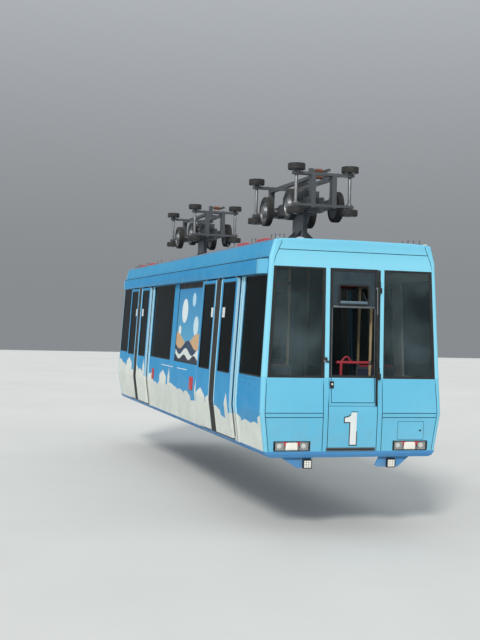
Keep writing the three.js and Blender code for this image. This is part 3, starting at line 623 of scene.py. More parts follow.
# Painted highlight: paler copies of the livery for the leaves' lips, the trim posts and the leaves' edges.
LIP_HIGHLIGHT = livery_paint("leaf_lip_highlight", "door_blue", (166, 220, 240), (176, 224, 240))
POST_HIGHLIGHT = livery_paint("trim_post_highlight", "trim_silver", (168, 220, 238), (182, 224, 238))
EDGE_HIGHLIGHT = livery_paint("leaf_edge_highlight", "trim_silver", (168, 204, 220), (158, 196, 214))
ROOF_PAINT = roof_paint()
FILM = film_paint()
FABRIC = seat_fabric()
GLASS_SIDE = glass("side_glass", "tinted_glass", (3, 10, 11), (10, 22, 24), 0.93, 0.02)
GLASS_END = glass("end_glass", "tinted_glass", (42, 54, 57), (98, 116, 121), 0.36)
GLASS_DOOR = glass("door_glass", "tinted_glass", (6, 16, 17), (16, 28, 30), 0.22, 0.30)
LAMP_GLASS = glass("lamp_glass", "lamp", (210, 214, 214), (190, 196, 198), 0.22)
STEEL = machine_paint("bogie_paint", (74, 78, 82), (98, 88, 78))
HANGER_PAINT = machine_paint("hanger_paint", (96, 102, 108), (112, 104, 96))
CAST = machine_paint("motor_paint", (58, 66, 72), (92, 84, 74))
RUBBER = grainy("black_rubber", "rubber_seal", (22, 23, 24), (34, 35, 36), 60, (0.55, 0.8), 0.2)
KNOB_BLACK = grainy("black_plastic", "rubber_seal", (26, 27, 29), (38, 39, 42), 70, (0.35, 0.55), 0.12)
ALLOY = grainy("bare_alloy", "trim_silver", (178, 184, 186), (150, 156, 158), 80, (0.25, 0.45), 0.1, Metallic=0.9)
DULL_ALLOY = grainy("dull_alloy", "trim_silver", (116, 124, 128), (92, 100, 104), 80, (0.4, 0.6), 0.1, Metallic=0.6)
# Painted reflection: this blue-grey stands for a glint on the hopper flap's lower edge.
FLAP_GLINT = grainy("flap_glint", "trim_silver", (100, 122, 134), (84, 106, 118), 60, (0.3, 0.5), 0.08)
SURROUND_GREY = grainy("hopper_surround", "tinted_glass", (42, 55, 62), (52, 66, 72), 50, (0.12, 0.3), 0.04)
LABEL = grainy("blank_label", "trim_silver", (226, 230, 230), (216, 222, 222), 30, (0.35, 0.5), 0.03)
MARK_DARK = grainy("number_outline", "front_blue", (22, 26, 30), (30, 34, 40), 30, (0.35, 0.5), 0.03)
SEAM_LINE = grainy("seam_line", "front_blue", (16, 46, 66), (24, 56, 76), 30, (0.4, 0.6), 0.05)
RED_CASE = grainy("red_case", "rail_red", (200, 50, 52), (180, 44, 48), 40, (0.35, 0.5), 0.1)
RAIL_RED = grainy("rail_red", "rail_red", (252, 92, 108), (242, 84, 100), 50, (0.25, 0.4), 0.08)
POLE_CREAM = grainy("pole_cream", "rail_red", (252, 226, 176), (246, 216, 164), 50, (0.25, 0.4), 0.08)
CABLE_RED = grainy("cable_red", "rail_red", (158, 84, 94), (138, 78, 86), 60, (0.5, 0.7), 0.1)
SEAT_SHELL = grainy("seat_shell", "seat_shell", (122, 130, 140), (106, 114, 126), 120, (0.45, 0.6), 0.25)
FLOOR_SHEET = grainy("floor_sheet", None, (92, 96, 100), (70, 74, 78), 160, (0.6, 0.8), 0.2)
LINING = grainy("cabin_lining", None, LINING_TONE, (188, 188, 180), 90, (0.5, 0.7), 0.1)
DIFFUSER = grainy("light_diffuser", "trim_silver", (236, 238, 232), (226, 228, 222), 120, (0.4, 0.55), 0.1)
BRIGHT_STEEL = grainy("worn_steel", "bogie_steel", (150, 152, 154), (122, 122, 122), 90, (0.38, 0.58), 0.15,
                      Metallic=0.95)
TYRE = grainy("tyre_rubber", "tyre", (30, 30, 31), (48, 47, 45), 70, (0.65, 0.85), 0.35, 0.002)
CARBON = grainy("collector_carbon", "bogie_steel", (50, 48, 48), (72, 62, 54), 90, (0.4, 0.6), 0.2, Metallic=0.3)
CERAMIC = grainy("insulator_glaze", "bogie_steel", (128, 84, 62), (112, 72, 54), 60, (0.15, 0.3), 0.08)
LAMP_WHITE = grainy("lamp_white", "lamp", (244, 242, 232), (232, 230, 220), 60, (0.2, 0.35), 0.1)
LAMP_RED = grainy("lamp_red", "lamp", (196, 54, 56), (176, 46, 50), 60, (0.15, 0.3), 0.1)
REFLECTOR = grainy("lamp_reflector", "lamp", (122, 128, 134), (104, 110, 118), 60, (0.46, 0.58), 0.03, Metallic=1.0)
AERIAL_GREY = grainy("aerial_grey", "trim_silver", (176, 178, 192), (162, 166, 180), 60, (0.4, 0.6), 0.08)


# End walls: one skin from the side, round the corner post, across the front and round again

GROOVE_EDGE, GROOVE_FLOOR, GROOVE_DEPTH = 0.0045, 0.0032, 0.007
CORNER_R = 0.030
DOOR_GAP = 0.005
POST_INNER_Z = (0.0, 0.836, 2.110, 2.414)
POST_INNER_BACK = (0.045, 0.055, 0.0455, 0.092)


def post_line(z):
    """Half width at the inner edge of the corner post: it runs in towards the roof."""
    return wall_y(np.minimum(z, LEVEL_Z[-1])) - np.interp(z, POST_INNER_Z, POST_INNER_BACK)


def groove_lines(at):
    return [at - GROOVE_EDGE, at - GROOVE_FLOOR, at + GROOVE_FLOOR, at + GROOVE_EDGE]


def groove_floor(at, value):
    return np.abs(value - at) < GROOVE_FLOOR + 1e-4


def end_skin_grid():
    """Columns go out from the middle, rows go up; each column keeps a half width or follows the post.

    Round the corner the column is an arc of CORNER_R, then a strip runs back along the side. Lines in
    a groove's floor are pushed inwards. The left half is the right half with its y turned over.
    """
    rows = [0.0, *LAMP_Z, 0.20, 0.32, END_DOOR_Z[0] - DOOR_GAP, 0.62, 0.74, END_WINDOW_Z[0], 1.4, END_WINDOW_Z[1],
            2.2, 2.211, 2.36, 2.385]
    rows += groove_lines(BELT_GROOVES[0]) + groove_lines(BELT_GROOVES[1]) + groove_lines(CROWN_GROOVE)
    z = np.array(sorted(rows))
    post = post_line(z)
    fixed = [0.0, 0.15, END_DOOR_HALF + DOOR_GAP, *groove_lines(CENTRE_GROOVE)[1:], *groove_lines(PANEL_GROOVE),
             END_WINDOW_INNER, LAMP_Y[0], 0.70]
    flat = [np.full_like(z, value) for value in fixed]
    flat.append(np.minimum(LAMP_Y[1], post - 0.010))
    flat.extend(post + offset for offset in groove_lines(0.0))
    side = wall_y(np.minimum(z, LEVEL_Z[-1]))
    reach = end_x(z)
    columns = [(half, reach, (-1.0, 0.0)) for half in flat]
    for angle in np.linspace(0, math.pi / 2, 7):
        sine, cosine = math.sin(angle), math.cos(angle)
        columns.append((side - CORNER_R + CORNER_R * sine, reach - CORNER_R + CORNER_R * cosine, (-cosine, -sine)))
    columns.append((side, reach - POST_DEPTH, (0.0, -1.0)))
    y = np.array([column[0] for column in columns])
    away = np.array([np.tile(column[2], (len(z), 1)) for column in columns])
    deep = groove_mask(y, np.broadcast_to(z, y.shape), post)
    x = np.array([column[1] for column in columns]) - deep * GROOVE_DEPTH
    x, y, deep, away = (np.concatenate([half[:0:-1] * turn, half])
                        for half, turn in ((x, 1), (y, -1), (deep, 1), (away, (1, -1))))
    return np.stack([x, y, np.broadcast_to(z, y.shape)], -1), deep.astype(float), away


def groove_mask(y, z, post):
    """Where a point is pushed in: only the two inner lines of a groove, only over its run."""
    outer_panel = (y > PANEL_GROOVE - 0.002) & (y < post + 0.002)
    lower = z < END_WINDOW_Z[0] - 0.001
    crown = z > END_WINDOW_Z[1] + 0.002
    deep = groove_floor(BELT_GROOVES[0], z) & outer_panel
    deep |= groove_floor(BELT_GROOVES[1], z) & outer_panel
    deep |= groove_floor(CROWN_GROOVE, z) & (y < post + 0.002)
    deep |= groove_floor(PANEL_GROOVE, y) & lower
    deep |= groove_floor(CENTRE_GROOVE, y) & (z < END_DOOR_Z[0] - 0.004)
    return deep | groove_floor(0.0, y - post) & (lower | crown)


def end_wall_skin(name, turn):
    """The grid above, rolled over onto the roof along its own inward direction, less its openings."""
    points, seam, away = end_skin_grid()
    crest = roof_z(points[:, -1, 1])
    rolled = []
    for inwards, below in ((0.0, 0.018), (0.005, 0.005), (0.018, 0.0), (POST_DEPTH, 0.0)):
        row = points[:, -1].copy()
        row[:, :2] = row[:, :2] + away[:, -1] * inwards
        row[:, 0] = np.maximum(row[:, 0], LEVEL_X[-1] - POST_DEPTH)
        row[:, 2] = roof_z(row[:, 1]) if inwards == POST_DEPTH else crest - below
        rolled.append(row)
    points = np.concatenate([points, np.stack(rolled, 1)], 1)
    seam = np.concatenate([seam, np.zeros((len(seam), len(rolled)))], 1)
    half = np.abs((points[1:, :-1, 1] + points[:-1, :-1, 1]) / 2)
    level = (points[:-1, :-1, 2] + points[:-1, 1:, 2]) / 2
    window = (half > END_WINDOW_INNER) & (half < post_line(level) - GROOVE_EDGE)
    window &= (level > END_WINDOW_Z[0]) & (level < END_WINDOW_Z[1])
    door = (half < END_DOOR_HALF + DOOR_GAP) & (level > END_DOOR_Z[0] - DOOR_GAP) & (level < END_WINDOW_Z[1])
    lamp = (half > LAMP_Y[0]) & (half < LAMP_Y[1]) & (level > LAMP_Z[0]) & (level < LAMP_Z[1])
    flat, faces = grid_patch(points, keep=~(window | door | lamp))
    wall = Part(name, in_cabin, turn, stands_for=[f"end_wall_{name}"])
    skin = wall.add("end_skin", [(flat, faces)], PAINT_FRONT, closed=False, smooth=30)
    mark_groove_shade(skin, in_cabin(flat, turn), seam.reshape(-1))
    thickened(skin, 0.026, edge=0.0012, segments=1)


def mark_groove_shade(obj, points, values):
    """Stores 1 where a groove's floor is, so that the paint goes dark there as painted shade; equal places decide."""
    places = np.empty(len(obj.data.vertices) * 3)
    obj.data.vertices.foreach_get("co", places)
    known = {tuple(place): value for place, value in zip(np.round(points, 4).tolist(), values)}
    found = [known.get(tuple(place), 0.0) for place in np.round(places.reshape(-1, 3), 4).tolist()]
    attribute = obj.data.attributes.new("seam", "FLOAT", "POINT")
    attribute.data.foreach_set("value", np.array(found, np.float32))


NUMBER_FOOT = 0.076
NUMBER_ONE = np.array([(-0.030, 0.0), (0.048, 0.0), (0.048, 0.373), (-0.012, 0.373), (-0.030, 0.335), (-0.062, 0.318),
                       (-0.100, 0.312), (-0.100, 0.262), (-0.030, 0.262)]) + (0.0, NUMBER_FOOT)
BUTTON = ((0.0, 0.004), (0.009, 0.004), (0.013, 0.0015), (0.013, -0.001), (0.0, -0.001))
CATCH_KNOB = ((0.0, 0.034), (0.010, 0.033), (0.017, 0.027), (0.018, 0.014), (0.012, 0.009), (0.016, 0.004),
              (0.020, 0.002), (0.020, -0.001), (0.0, -0.001))
CATCH_BOLT = ((0.0, 0.016), (0.008, 0.015), (0.010, 0.012), (0.010, 0.005), (0.0, 0.005))
PANEL_SCREW = ((0.0, 0.0028), (0.004, 0.0024), (0.0055, 0.0008), (0.0055, -0.001), (0.0, -0.001))


def outline_offset(points, reach):
    """An outline moved outwards: each corner goes along the sum of its two edges' normals, mitred."""
    normals = [np.stack([edge[:, 1], -edge[:, 0]], -1) / np.linalg.norm(edge, axis=1)[:, None]
               for edge in (points - np.roll(points, 1, 0), np.roll(points, -1, 0) - points)]
    total = normals[0] + normals[1]
    return points + reach * total / (1 + (normals[0] * normals[1]).sum(1))[:, None]


def end_window_border(side):
    """Rubber round an end window: its outer edge leans with the corner post."""
    low, high = END_WINDOW_Z[0] + 0.001, END_WINDOW_Z[1] - 0.001
    near = END_WINDOW_INNER + 0.001
    far_low, far_high = (float(post_line(level)) - GROOVE_EDGE - 0.001 for level in (low, high))
    outer = [(near, low), (far_low, low), (far_high, high), (near, high)]
    inner = [(near + 0.018, low + 0.028), (far_low - 0.036, low + 0.028),
             (far_high - 0.036, high - 0.020), (near + 0.018, high - 0.020)]
    return ring(np.array(outer) * (side, 1), np.array(inner) * (side, 1), (-0.0058, -0.0015))


def end_details(name, turn):
    """What sits on the front panel: rubbers, the number, slot, flap, door catch and screws."""
    wall = Part(name, on_end, turn)
    wall.add("window_borders", [end_window_border(side) for side in (-1, 1)], RUBBER)
    wall.add("post_rubbers", [block((-0.001, 0.297, 0.850), (0.0018, 0.330, 2.103), 0.001, 1),
                              block((-0.003, -0.377, 0.842), (0.0018, -0.353, 2.108), 0.001, 1)], RUBBER)
    wall.add("number", [carried(NUMBER_ONE, (0.0003, 0.0014))], LABEL, slot="front_blue")
    wall.add("number_outline", [carried(outline_offset(NUMBER_ONE, 0.012), (-0.001, 0.0009))], MARK_DARK)
    wall.add("slot_frame", [ring(rectangle((-0.318, 0.290, 0.002, 0.044), 0.004),
                                 rectangle((-0.308, 0.280, 0.014, 0.032), 0.003), (-0.001, 0.0045))], DULL_ALLOY)
    wall.add("slot_floor", [block((-0.001, -0.312, 0.010), (0.0008, 0.284, 0.036), 0.0004, 1)], KNOB_BLACK)
    wall.add("flap_seam", [border((0.565, 0.902, 0.131, 0.346), 0.004, (-0.001, 0.0006), 0.006, 0.006)], SEAM_LINE)
    wall.add("flap_key", [turned(BUTTON, (0, 0.858, 0.239), OUT)], KNOB_BLACK)
    wall.add("door_catch", [turned(CATCH_KNOB, (0, -0.345, 1.062), OUT, 28),
                            block((0.012, -0.340, 1.022), (0.020, -0.303, 1.040))], KNOB_BLACK)
    wall.add("catch_plate", [block((-0.001, -0.366, 1.022), (0.006, -0.322, 1.052), 0.002),
                             turned(CATCH_BOLT, (0, -0.350, 1.037), OUT)], ALLOY)
    wall.add("panel_screws", [turned(PANEL_SCREW, (0, side * across, height), OUT, 12)
                              for side in (-1, 1) for across in (0.335, 1.000) for height in (0.20, 0.62)], ALLOY)


HINGE_Y, HINGE_OUT, HINGE_R = 0.314, 0.018, 0.012
HINGE_WALL = ((0.830, 0.900), (1.830, 1.900))
HINGE_LEAF = ((0.9015, 0.9705), (1.9015, 1.9705))
PANEL_TOP = 0.845
PANEL_GROOVE_Y, PANEL_GROOVE_Z = 0.270, 0.560
PANE_SPLIT = 1.665
HOPPER = (-0.190, 0.190, 1.688, 1.926)
HANDLE_BUTTON = ((0.0, 0.017), (0.008, 0.016), (0.011, 0.012), (0.011, 0.006), (0.0, 0.006))
WIPER_PIVOT = ((0.0, 0.012), (0.012, 0.011), (0.014, 0.007), (0.014, 0.0), (0.0, 0.0))


def hinge_barrel(low, high):
    """Barrel on the hinge line between two heights, with rounded rims."""
    return turned([(0.0, low), (HINGE_R - 0.001, low), (HINGE_R, low + 0.001), (HINGE_R, high - 0.001),
                   (HINGE_R - 0.001, high), (0.0, high)], (HINGE_OUT, HINGE_Y, 0), UP, 24)


def hinge_plates(spans, low, high):
    """A thin plate beside each barrel, from low to high as (outwards, across)."""
    return [block((*low, start + 0.003), (*high, stop - 0.003), 0.001, 1) for start, stop in spans]


def end_door_panel(door):
    """Painted lower panel: a grid with two upright grooves and one level groove pressed in."""
    across = np.array([-END_DOOR_HALF, *groove_lines(-PANEL_GROOVE_Y), 0.0, *groove_lines(PANEL_GROOVE_Y),
                       END_DOOR_HALF])
    heights = np.array([END_DOOR_Z[0], *groove_lines(PANEL_GROOVE_Z), 0.70, PANEL_TOP])
    u, v = np.meshgrid(across, heights, indexing="ij")
    deep = groove_floor(PANEL_GROOVE_Y, np.abs(u)) & (v > PANEL_GROOVE_Z - 0.002)
    deep |= groove_floor(PANEL_GROOVE_Z, v) & (np.abs(u) < PANEL_GROOVE_Y + 0.002)
    flat, faces = grid_patch(np.stack([np.where(deep, -0.005, 0.0), u, v], -1))
    panel = door.add("end_door_panel", [(flat, faces)], PAINT_FRONT, closed=False, smooth=30)
    # The grooves' floors get painted shade through the stored marks.
    mark_groove_shade(panel, on_end(flat, door.turn), deep.astype(float).reshape(-1))
    thickened(panel, 0.040)


def end_door(name, turn):
    """Emergency door: panel, black frame with two panes, hopper flap, alloy beads, handle and wiper."""
    body = f"end_door_{name}"
    door = Part(name, on_end, turn, body, [body])
    end_door_panel(door)
    half, top = END_DOOR_HALF, END_DOOR_Z[1]
    y0, y1, z0, z1 = HOPPER
    door.add("end_door_frame", [
        border((-half, half, PANEL_TOP, top), 0.030, (-0.045, 0.0), 0.004, 0.012),
        block((-0.040, -half + 0.025, PANE_SPLIT - 0.013), (-0.004, half - 0.025, PANE_SPLIT + 0.013), 0.002),
        border(HOPPER, 0.016, (-0.014, 0.005), 0.010, 0.006)], KNOB_BLACK)
    lean = [(-0.020, z0 + 0.020), (-0.014, z0 + 0.020), (-0.069, z1 - 0.022), (-0.075, z1 - 0.022)]
    door.add("end_door_glass", [
        block((-0.012, -half + 0.026, PANEL_TOP + 0.026), (-0.006, half - 0.026, PANE_SPLIT - 0.010), 0.001, 1),
        carried(lean, (y0 + 0.020, y1 - 0.020), (0, 2, 1))], GLASS_DOOR)
    door.add("hopper_surround", [ring(rectangle((-half + 0.026, half - 0.026, PANE_SPLIT + 0.010, top - 0.026)),
                                      rectangle(inset(HOPPER, 0.004)), (-0.012, -0.006))], SURROUND_GREY)
    corner = (-0.071, y0 + 0.024, z1 - 0.020)
    door.add("hopper_sash", [tube([(-0.012, y0 + 0.024, z0 + 0.022), corner], 0.0035),
                             tube([corner, (-0.071, y1 - 0.024, z1 - 0.020)], 0.0035)], KNOB_BLACK, False)
    # Painted reflection: the lip's blue-grey stands for a glint on the flap.
    door.add("hopper_lip", [block((-0.026, y0 + 0.016, z0 + 0.004), (-0.004, y1 - 0.016, z0 + 0.046), 0.004, 3)],
             FLAP_GLINT)
    door.add("end_door_beads", [
        tube([(-0.004, y1 + 0.010, 1.672), (-0.066, y1 - 0.050, 1.832)], 0.0032),
        block((-0.006, -0.258, PANE_SPLIT - 0.010), (0.0045, 0.258, PANE_SPLIT + 0.010), 0.002)], DULL_ALLOY)
    door.add("pane_beads", [
        block((-0.002, across - 0.004, 0.850), (0.004, across + 0.004, PANE_SPLIT - 0.016), 0.0015)
        for across in (-PANEL_GROOVE_Y, 0.262)], DULL_ALLOY)
    door.add("handle_button", [turned(HANDLE_BUTTON, (0, -0.262, 0.772), OUT)], LAMP_WHITE, False, slot="trim_silver")
    door.add("end_door_handle", [block((-0.002, -0.292, 0.724), (0.009, -0.240, 0.805), 0.004, 3)], KNOB_BLACK, False)
    door.add("wiper_blade", [block((0.008, 0.272, 0.524), (0.016, 0.297, 1.600)),
                             block((0.016, 0.279, 0.560), (0.030, 0.293, 1.580))], RUBBER, False)
    bent = rounded_path([(0.0, 0.286, 1.890), (0.020, 0.286, 1.885), (0.022, 0.286, 1.560)], 0.020)
    clips = [block((0.018, 0.279, at), (0.026, 0.293, at + 0.030), 0.002) for at in (0.80, 1.10, 1.40)]
    door.add("wiper_arm", [tube(bent, 0.005, 12), turned(WIPER_PIVOT, (0, 0.283, 1.889), OUT), *clips], ALLOY, False)
    plates = hinge_plates(HINGE_LEAF, (0.004, 0.268), (0.012, HINGE_Y - 0.010))
    plates += hinge_plates(HINGE_LEAF, (-0.002, 0.262), (0.010, 0.288))
    door.add("hinge_leaves", plates, KNOB_BLACK)
    door.add("hinge_knuckles", [hinge_barrel(*span) for span in HINGE_LEAF], KNOB_BLACK)
    barrels = [hinge_barrel(*span) for span in HINGE_WALL] + hinge_plates(HINGE_WALL, (-0.002, 0.308), (0.016, 0.344))
    Part(name, on_end, turn, stands_for=[f"end_wall_{name}"]).add("hinge_barrels", barrels, KNOB_BLACK)


# Headlamps: a tray with two square reflectors, a ribbed white unit between them and red bits in the corners

LAMP_CELLS = ((0.024, 0.125), (0.318, 0.419))
LAMP_CENTRE = (0.150, 0.293)
LAMP_REDS = ((0.129, 0.149), (0.294, 0.314))
LAMP_RED_TOPS = ((0.100, 0.170), (0.274, 0.342))
LAMP_WALLS = ((0.125, 0.129), (0.314, 0.318))


def reflector_bowl(y0, y1, z0, z1):
    """A rounded square that narrows to the back: at each depth it shrinks by the square of the depth."""
    rows = []
    for t in np.linspace(0, 1, 7):
        outline = rectangle(inset((y0, y1, z0, z1), 0.36 * t * t * (y1 - y0)), 0.012, 4)
        rows.append(np.insert(outline, 0, 0.001 - 0.026 * t, axis=1))
    rows.append(np.broadcast_to(rows[-1].mean(0), rows[-1].shape))
    return grid_patch(np.array(rows), wrap_v=True)


def ribbed_lens(y0, y1, z0, z1, ribs=9):
    """A lens face over a grid: it bulges as a cosine and carries upright ribs as rectified sines."""
    u, v = np.meshgrid(np.linspace(-1, 1, 6 * ribs + 1), np.linspace(-1, 1, 13), indexing="ij")
    bulge = 0.006 * np.cos(u * math.pi / 2) ** 0.5 * np.cos(v * math.pi / 2) ** 0.5
    rib = 0.0016 * np.abs(np.sin((u + 1) * ribs * math.pi / 2)) * (1 - v ** 8)
    front = np.stack([-0.004 + bulge + rib, (y0 + y1) / 2 + u * (y1 - y0) / 2, (z0 + z1) / 2 + v * (z1 - z0) / 2], -1)
    back = front.copy()
    back[..., 0] = -0.026
    rims = [np.stack([front[edge], back[edge]], 0) for edge in (np.s_[0], np.s_[-1], np.s_[:, 0], np.s_[:, -1])]
    return [grid_patch(surface) for surface in (front, back, *rims)]


def headlamp(name, turn, side):
    label = f"{name}_{'right' if side * turn < 0 else 'left'}"
    cluster = Part(label, on_end, turn, stands_for=[f"headlamps_{label}"])
    y0 = LAMP_Y[0] if side > 0 else -LAMP_Y[1]
    y1 = y0 + LAMP_Y[1] - LAMP_Y[0]
    z0, z1 = LAMP_Z
    low, high = z0 + 0.010, z1 - 0.010

    def bits(spans, out0, out1, bottom, top, *edges):
        """One block over each span along the cluster."""
        return [block((out0, y0 + start, bottom), (out1, y0 + stop, top), *edges) for start, stop in spans]

    tray = [border(inset((y0, y1, z0, z1), 0.001), 0.010, (-0.028, 0.0045), 0.012, 0.008),
            block((-0.0295, y0 + 0.003, z0 + 0.003), (-0.0265, y1 - 0.003, z1 - 0.003), 0.001, 1)]
    cluster.add("lamp_tray", tray + bits(LAMP_WALLS, -0.027, 0.0, z0 + 0.008, z1 - 0.008, 0.001, 1), KNOB_BLACK)
    bulb = [(0.031 * math.cos(angle), -0.013 + 0.010 * math.sin(angle)) for angle in np.linspace(math.pi / 2, 0, 6)]
    bulb += [(0.010, -0.024), (0.0, -0.024)]
    cluster.add("lamp_bowls", [reflector_bowl(y0 + start, y0 + stop, low, high) for start, stop in LAMP_CELLS],
                REFLECTOR, closed=False)
    cluster.add("lamp_bulbs", [turned(bulb, (0, y0 + (start + stop) / 2, (z0 + z1) / 2), OUT)
                               for start, stop in LAMP_CELLS], LAMP_WHITE)
    panes = [(start - 0.002, stop + 0.002) for start, stop in LAMP_CELLS]
    cluster.add("lamp_glasses", bits(panes, 0.0015, 0.0045, low - 0.002, high + 0.002, 0.0012), LAMP_GLASS)
    cluster.add("lamp_middle", ribbed_lens(y0 + LAMP_CENTRE[0], y0 + LAMP_CENTRE[1], low, high), LAMP_WHITE)
    cluster.add("lamp_reds", bits(LAMP_REDS, -0.020, 0.003, z0 + 0.060, high, 0.004)
                + bits(LAMP_RED_TOPS, -0.004, 0.0052, high - 0.006, high + 0.002, 0.002), LAMP_RED)
    cluster.add("lamp_markers", bits(LAMP_REDS, -0.020, 0.002, low, z0 + 0.056, 0.004), LAMP_GLASS)


for end_name, end_turn in ENDS:
    end_wall_skin(end_name, end_turn)
    end_details(end_name, end_turn)
    end_door(end_name, end_turn)
    for end_side in (-1, 1):
        headlamp(end_name, end_turn, end_side)

# Side walls, roof, covers, underframe and floor keep the solids' shapes.

COVERED_WINDOWS = ("window_right_mid_fore", "window_left_mid_fore")

for side_name, side_turn in SIDES:
    softened(f"side_wall_{side_name}", LIVERY, 0.004)
    softened(f"door_header_{side_name}", PAINT_HEADER, 0.004)
softened("roof", ROOF_PAINT, 0.006)
softened("underframe", PAINT_SKIRT, 0.004)
softened("floor", FLOOR_SHEET, 0.002)
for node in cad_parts:
    if node.startswith("window_"):
        softened(node, FILM if node in COVERED_WINDOWS else GLASS_SIDE, 0.001, 1)
    if node.startswith("end_window_"):
        softened(node, GLASS_END, 0.001, 1)

RED_CASES = ((-1.400, -1.260, 0.470, 0.650), (1.200, 1.400, 0.470, 0.660))
CASE_KEY = ((0.0, 0.012), (0.010, 0.0118), (0.012, 0.0105), (0.012, 0.010), (0.0, 0.010))
STRIPES, STRIPE_Z = ((-0.72, 0.10), (0.38, 1.00)), 0.742
PLUG = ((0.0, 0.003), (0.008, 0.0026), (0.010, 0.001), (0.010, -0.001), (0.0, -0.001))
PLUG_PLACES, PLUG_Z = (3.72, 3.90, 4.08), 0.735
SEAMS_X = (-0.15, 0.15, -3.66, 3.66)
WALL_ROWS = (0.001, 0.22, 0.42, 0.444, 0.47, 0.836, 1.4, 2.010)
UPRIGHT = (1, 0, 2)
# Painted shade: a black strip along the header's top stands for the gap above it and that gap's shade.
HEADER_GAP_SHADE = ((0.0, 0.0002), (0.052, 0.0002), (0.056, 0.004), (0.056, 0.010), (0.050, 0.012), (0.0, 0.016))
HEADER_GAP_SHADE_STATIONS, HEADER_GAP_SHADE_REACH = (-HEADER_HALF, -4.30, 4.30, HEADER_HALF), (0.22, 1.0, 1.0, 0.22)
RIB_RUNS = ((-4.48, -3.50), (-1.76, 1.76), (3.50, 4.48))


def window_frames():
    """Flat rubber frames just behind the panes' faces; the outer panes slope with the end wall."""
    low, high = WINDOW_Z[0] + 0.001, WINDOW_Z[1] - 0.001
    depth = (-0.0058, -0.0005)
    near = WINDOW_ENDS + 0.001
    far_low, far_high = (float(end_x(z)) - END_WRAP - 0.001 for z in (low, high))
    outer = np.array([(near, low), (far_low, low), (far_high, high), (near, high)])
    inner = outer + 0.015 * np.array([(1, 1), (-1, 1), (-1, -1), (1, -1)])
    frames = []
    for sign in (-1, 1):
        x0, x1 = sorted(sign * np.array(WINDOW_MIDDLE))
        frames.append(ring(outer * (sign, 1), inner * (sign, 1), depth))
        frames.append(border((x0 + 0.001, x1 - 0.001, low, high), 0.015, depth))
    return frames


def red_case(x0, x1, z0, z1):
    """Flat case with a lid line and a round key: two stacked blocks and a turned button."""
    return [block((-0.001, x0, z0), (0.008, x1, z1)),
            block((0.007, x0 + 0.012, z0 + 0.012), (0.0115, x1 - 0.012, z1 - 0.012), 0.002),
            turned(CASE_KEY, (0, (x0 + x1) / 2, (z0 + z1) / 2), OUT)]


def side_trim(name, turn):
    """Trim posts in painted highlight, rubbers, cases, stripes, plugs, seams, header strip in painted shade: laid out
    flat, then bent on.
    """
    posts, grooves = [], []
    for door in (-1, 1):
        for side in (-1, 1):
            x0, x1 = sorted(door * DOOR_CENTRE + side * np.array(TRIM_POST))
            middle, out = (x0 + x1) / 2, TRIM_PROUD
            post = [(x0, 0.001), (x0, out - 0.003), (x0 + 0.003, out), (x1 - 0.003, out), (x1, out - 0.003),
                    (x1, 0.001)]
            seal = rectangle((middle + 0.005, middle - 0.005, out - 0.004, out + 0.0006))
            posts.append(carried(post, WALL_ROWS, UPRIGHT))
            grooves.append(carried(seal, WALL_ROWS, UPRIGHT))
    wall = Part(name, on_side, turn)
    # Painted highlight: the posts carry a paler copy of the livery.
    wall.add("trim_posts", posts, POST_HIGHLIGHT)
    wall.add("trim_seals", grooves, RUBBER)
    wall.add("window_rubbers", window_frames(), RUBBER)
    wall.add("red_cases", [part for box in RED_CASES for part in red_case(*box)], RED_CASE)
    wall.add("white_stripes", [block((-0.001, x0, STRIPE_Z - 0.006), (0.0008, x1, STRIPE_Z + 0.006), 0.0004, 1)
                               for x0, x1 in STRIPES], LABEL)
    plugs = [turned(PLUG, (0, x, PLUG_Z), OUT, 16) for x in PLUG_PLACES]
    wall.add("side_plugs", plugs, MARK_DARK, slot="rubber_seal")
    seams = [block((-0.001, x - 0.0012, 0.004), (0.0006, x + 0.0012, 0.796), 0.0003, 1) for x in SEAMS_X]
    seams.insert(0, block((-0.001, 3.665, 0.7985), (0.0006, 4.470, 0.8015), 0.0003, 1))
    wall.add("side_seams", seams, SEAM_LINE, slot="body_blue")

    def beside_header(points, turn):
        x, out, z = points.T
        reach = float(wall_y(HEADER_Z[1])) + out * np.interp(x, HEADER_GAP_SHADE_STATIONS, HEADER_GAP_SHADE_REACH)
        return in_cabin(np.stack([x, -reach, z + HEADER_Z[1]], -1), turn)

    # Painted shade: the black strip on the header's top.
    Part(name, beside_header, turn).add("header_gap_shade", [carried(HEADER_GAP_SHADE, HEADER_GAP_SHADE_STATIONS)], RUBBER)


def skirt_ribs(name, turn):
    """Two pressed ribs along the slanted edge of the underframe, broken under the doors."""
    ribs = []
    for x0, x1 in RIB_RUNS:
        for drop, back in ((0.019, 0.0125), (0.037, 0.0235)):
            y = -(LEVEL_Y[0] - back)
            ribs.append(tube([(x0, y + 0.003, -drop), (x0 + 0.02, y, -drop), (x1 - 0.02, y, -drop),
                              (x1, y + 0.003, -drop)], 0.0045))
    Part(name, in_cabin, turn).add("skirt_ribs", ribs, PAINT_SKIRT)


for side_name, side_turn in SIDES:
    side_trim(side_name, side_turn)
    skirt_ribs(side_name, side_turn)

# Lamps under the floor: a bezel with three by four square lenses on each black box

UNDER_LAMPS = (-0.528, 0.512)
UNDER_LAMP_BOX = (-0.052, 0.052, -0.196, -0.096)
UNDER_LAMP_X = 4.560
LAMP_BOLT = ((0.0, 0.006), (0.006, 0.006), (0.0075, 0.004), (0.0075, -0.001), (0.0, -0.001))


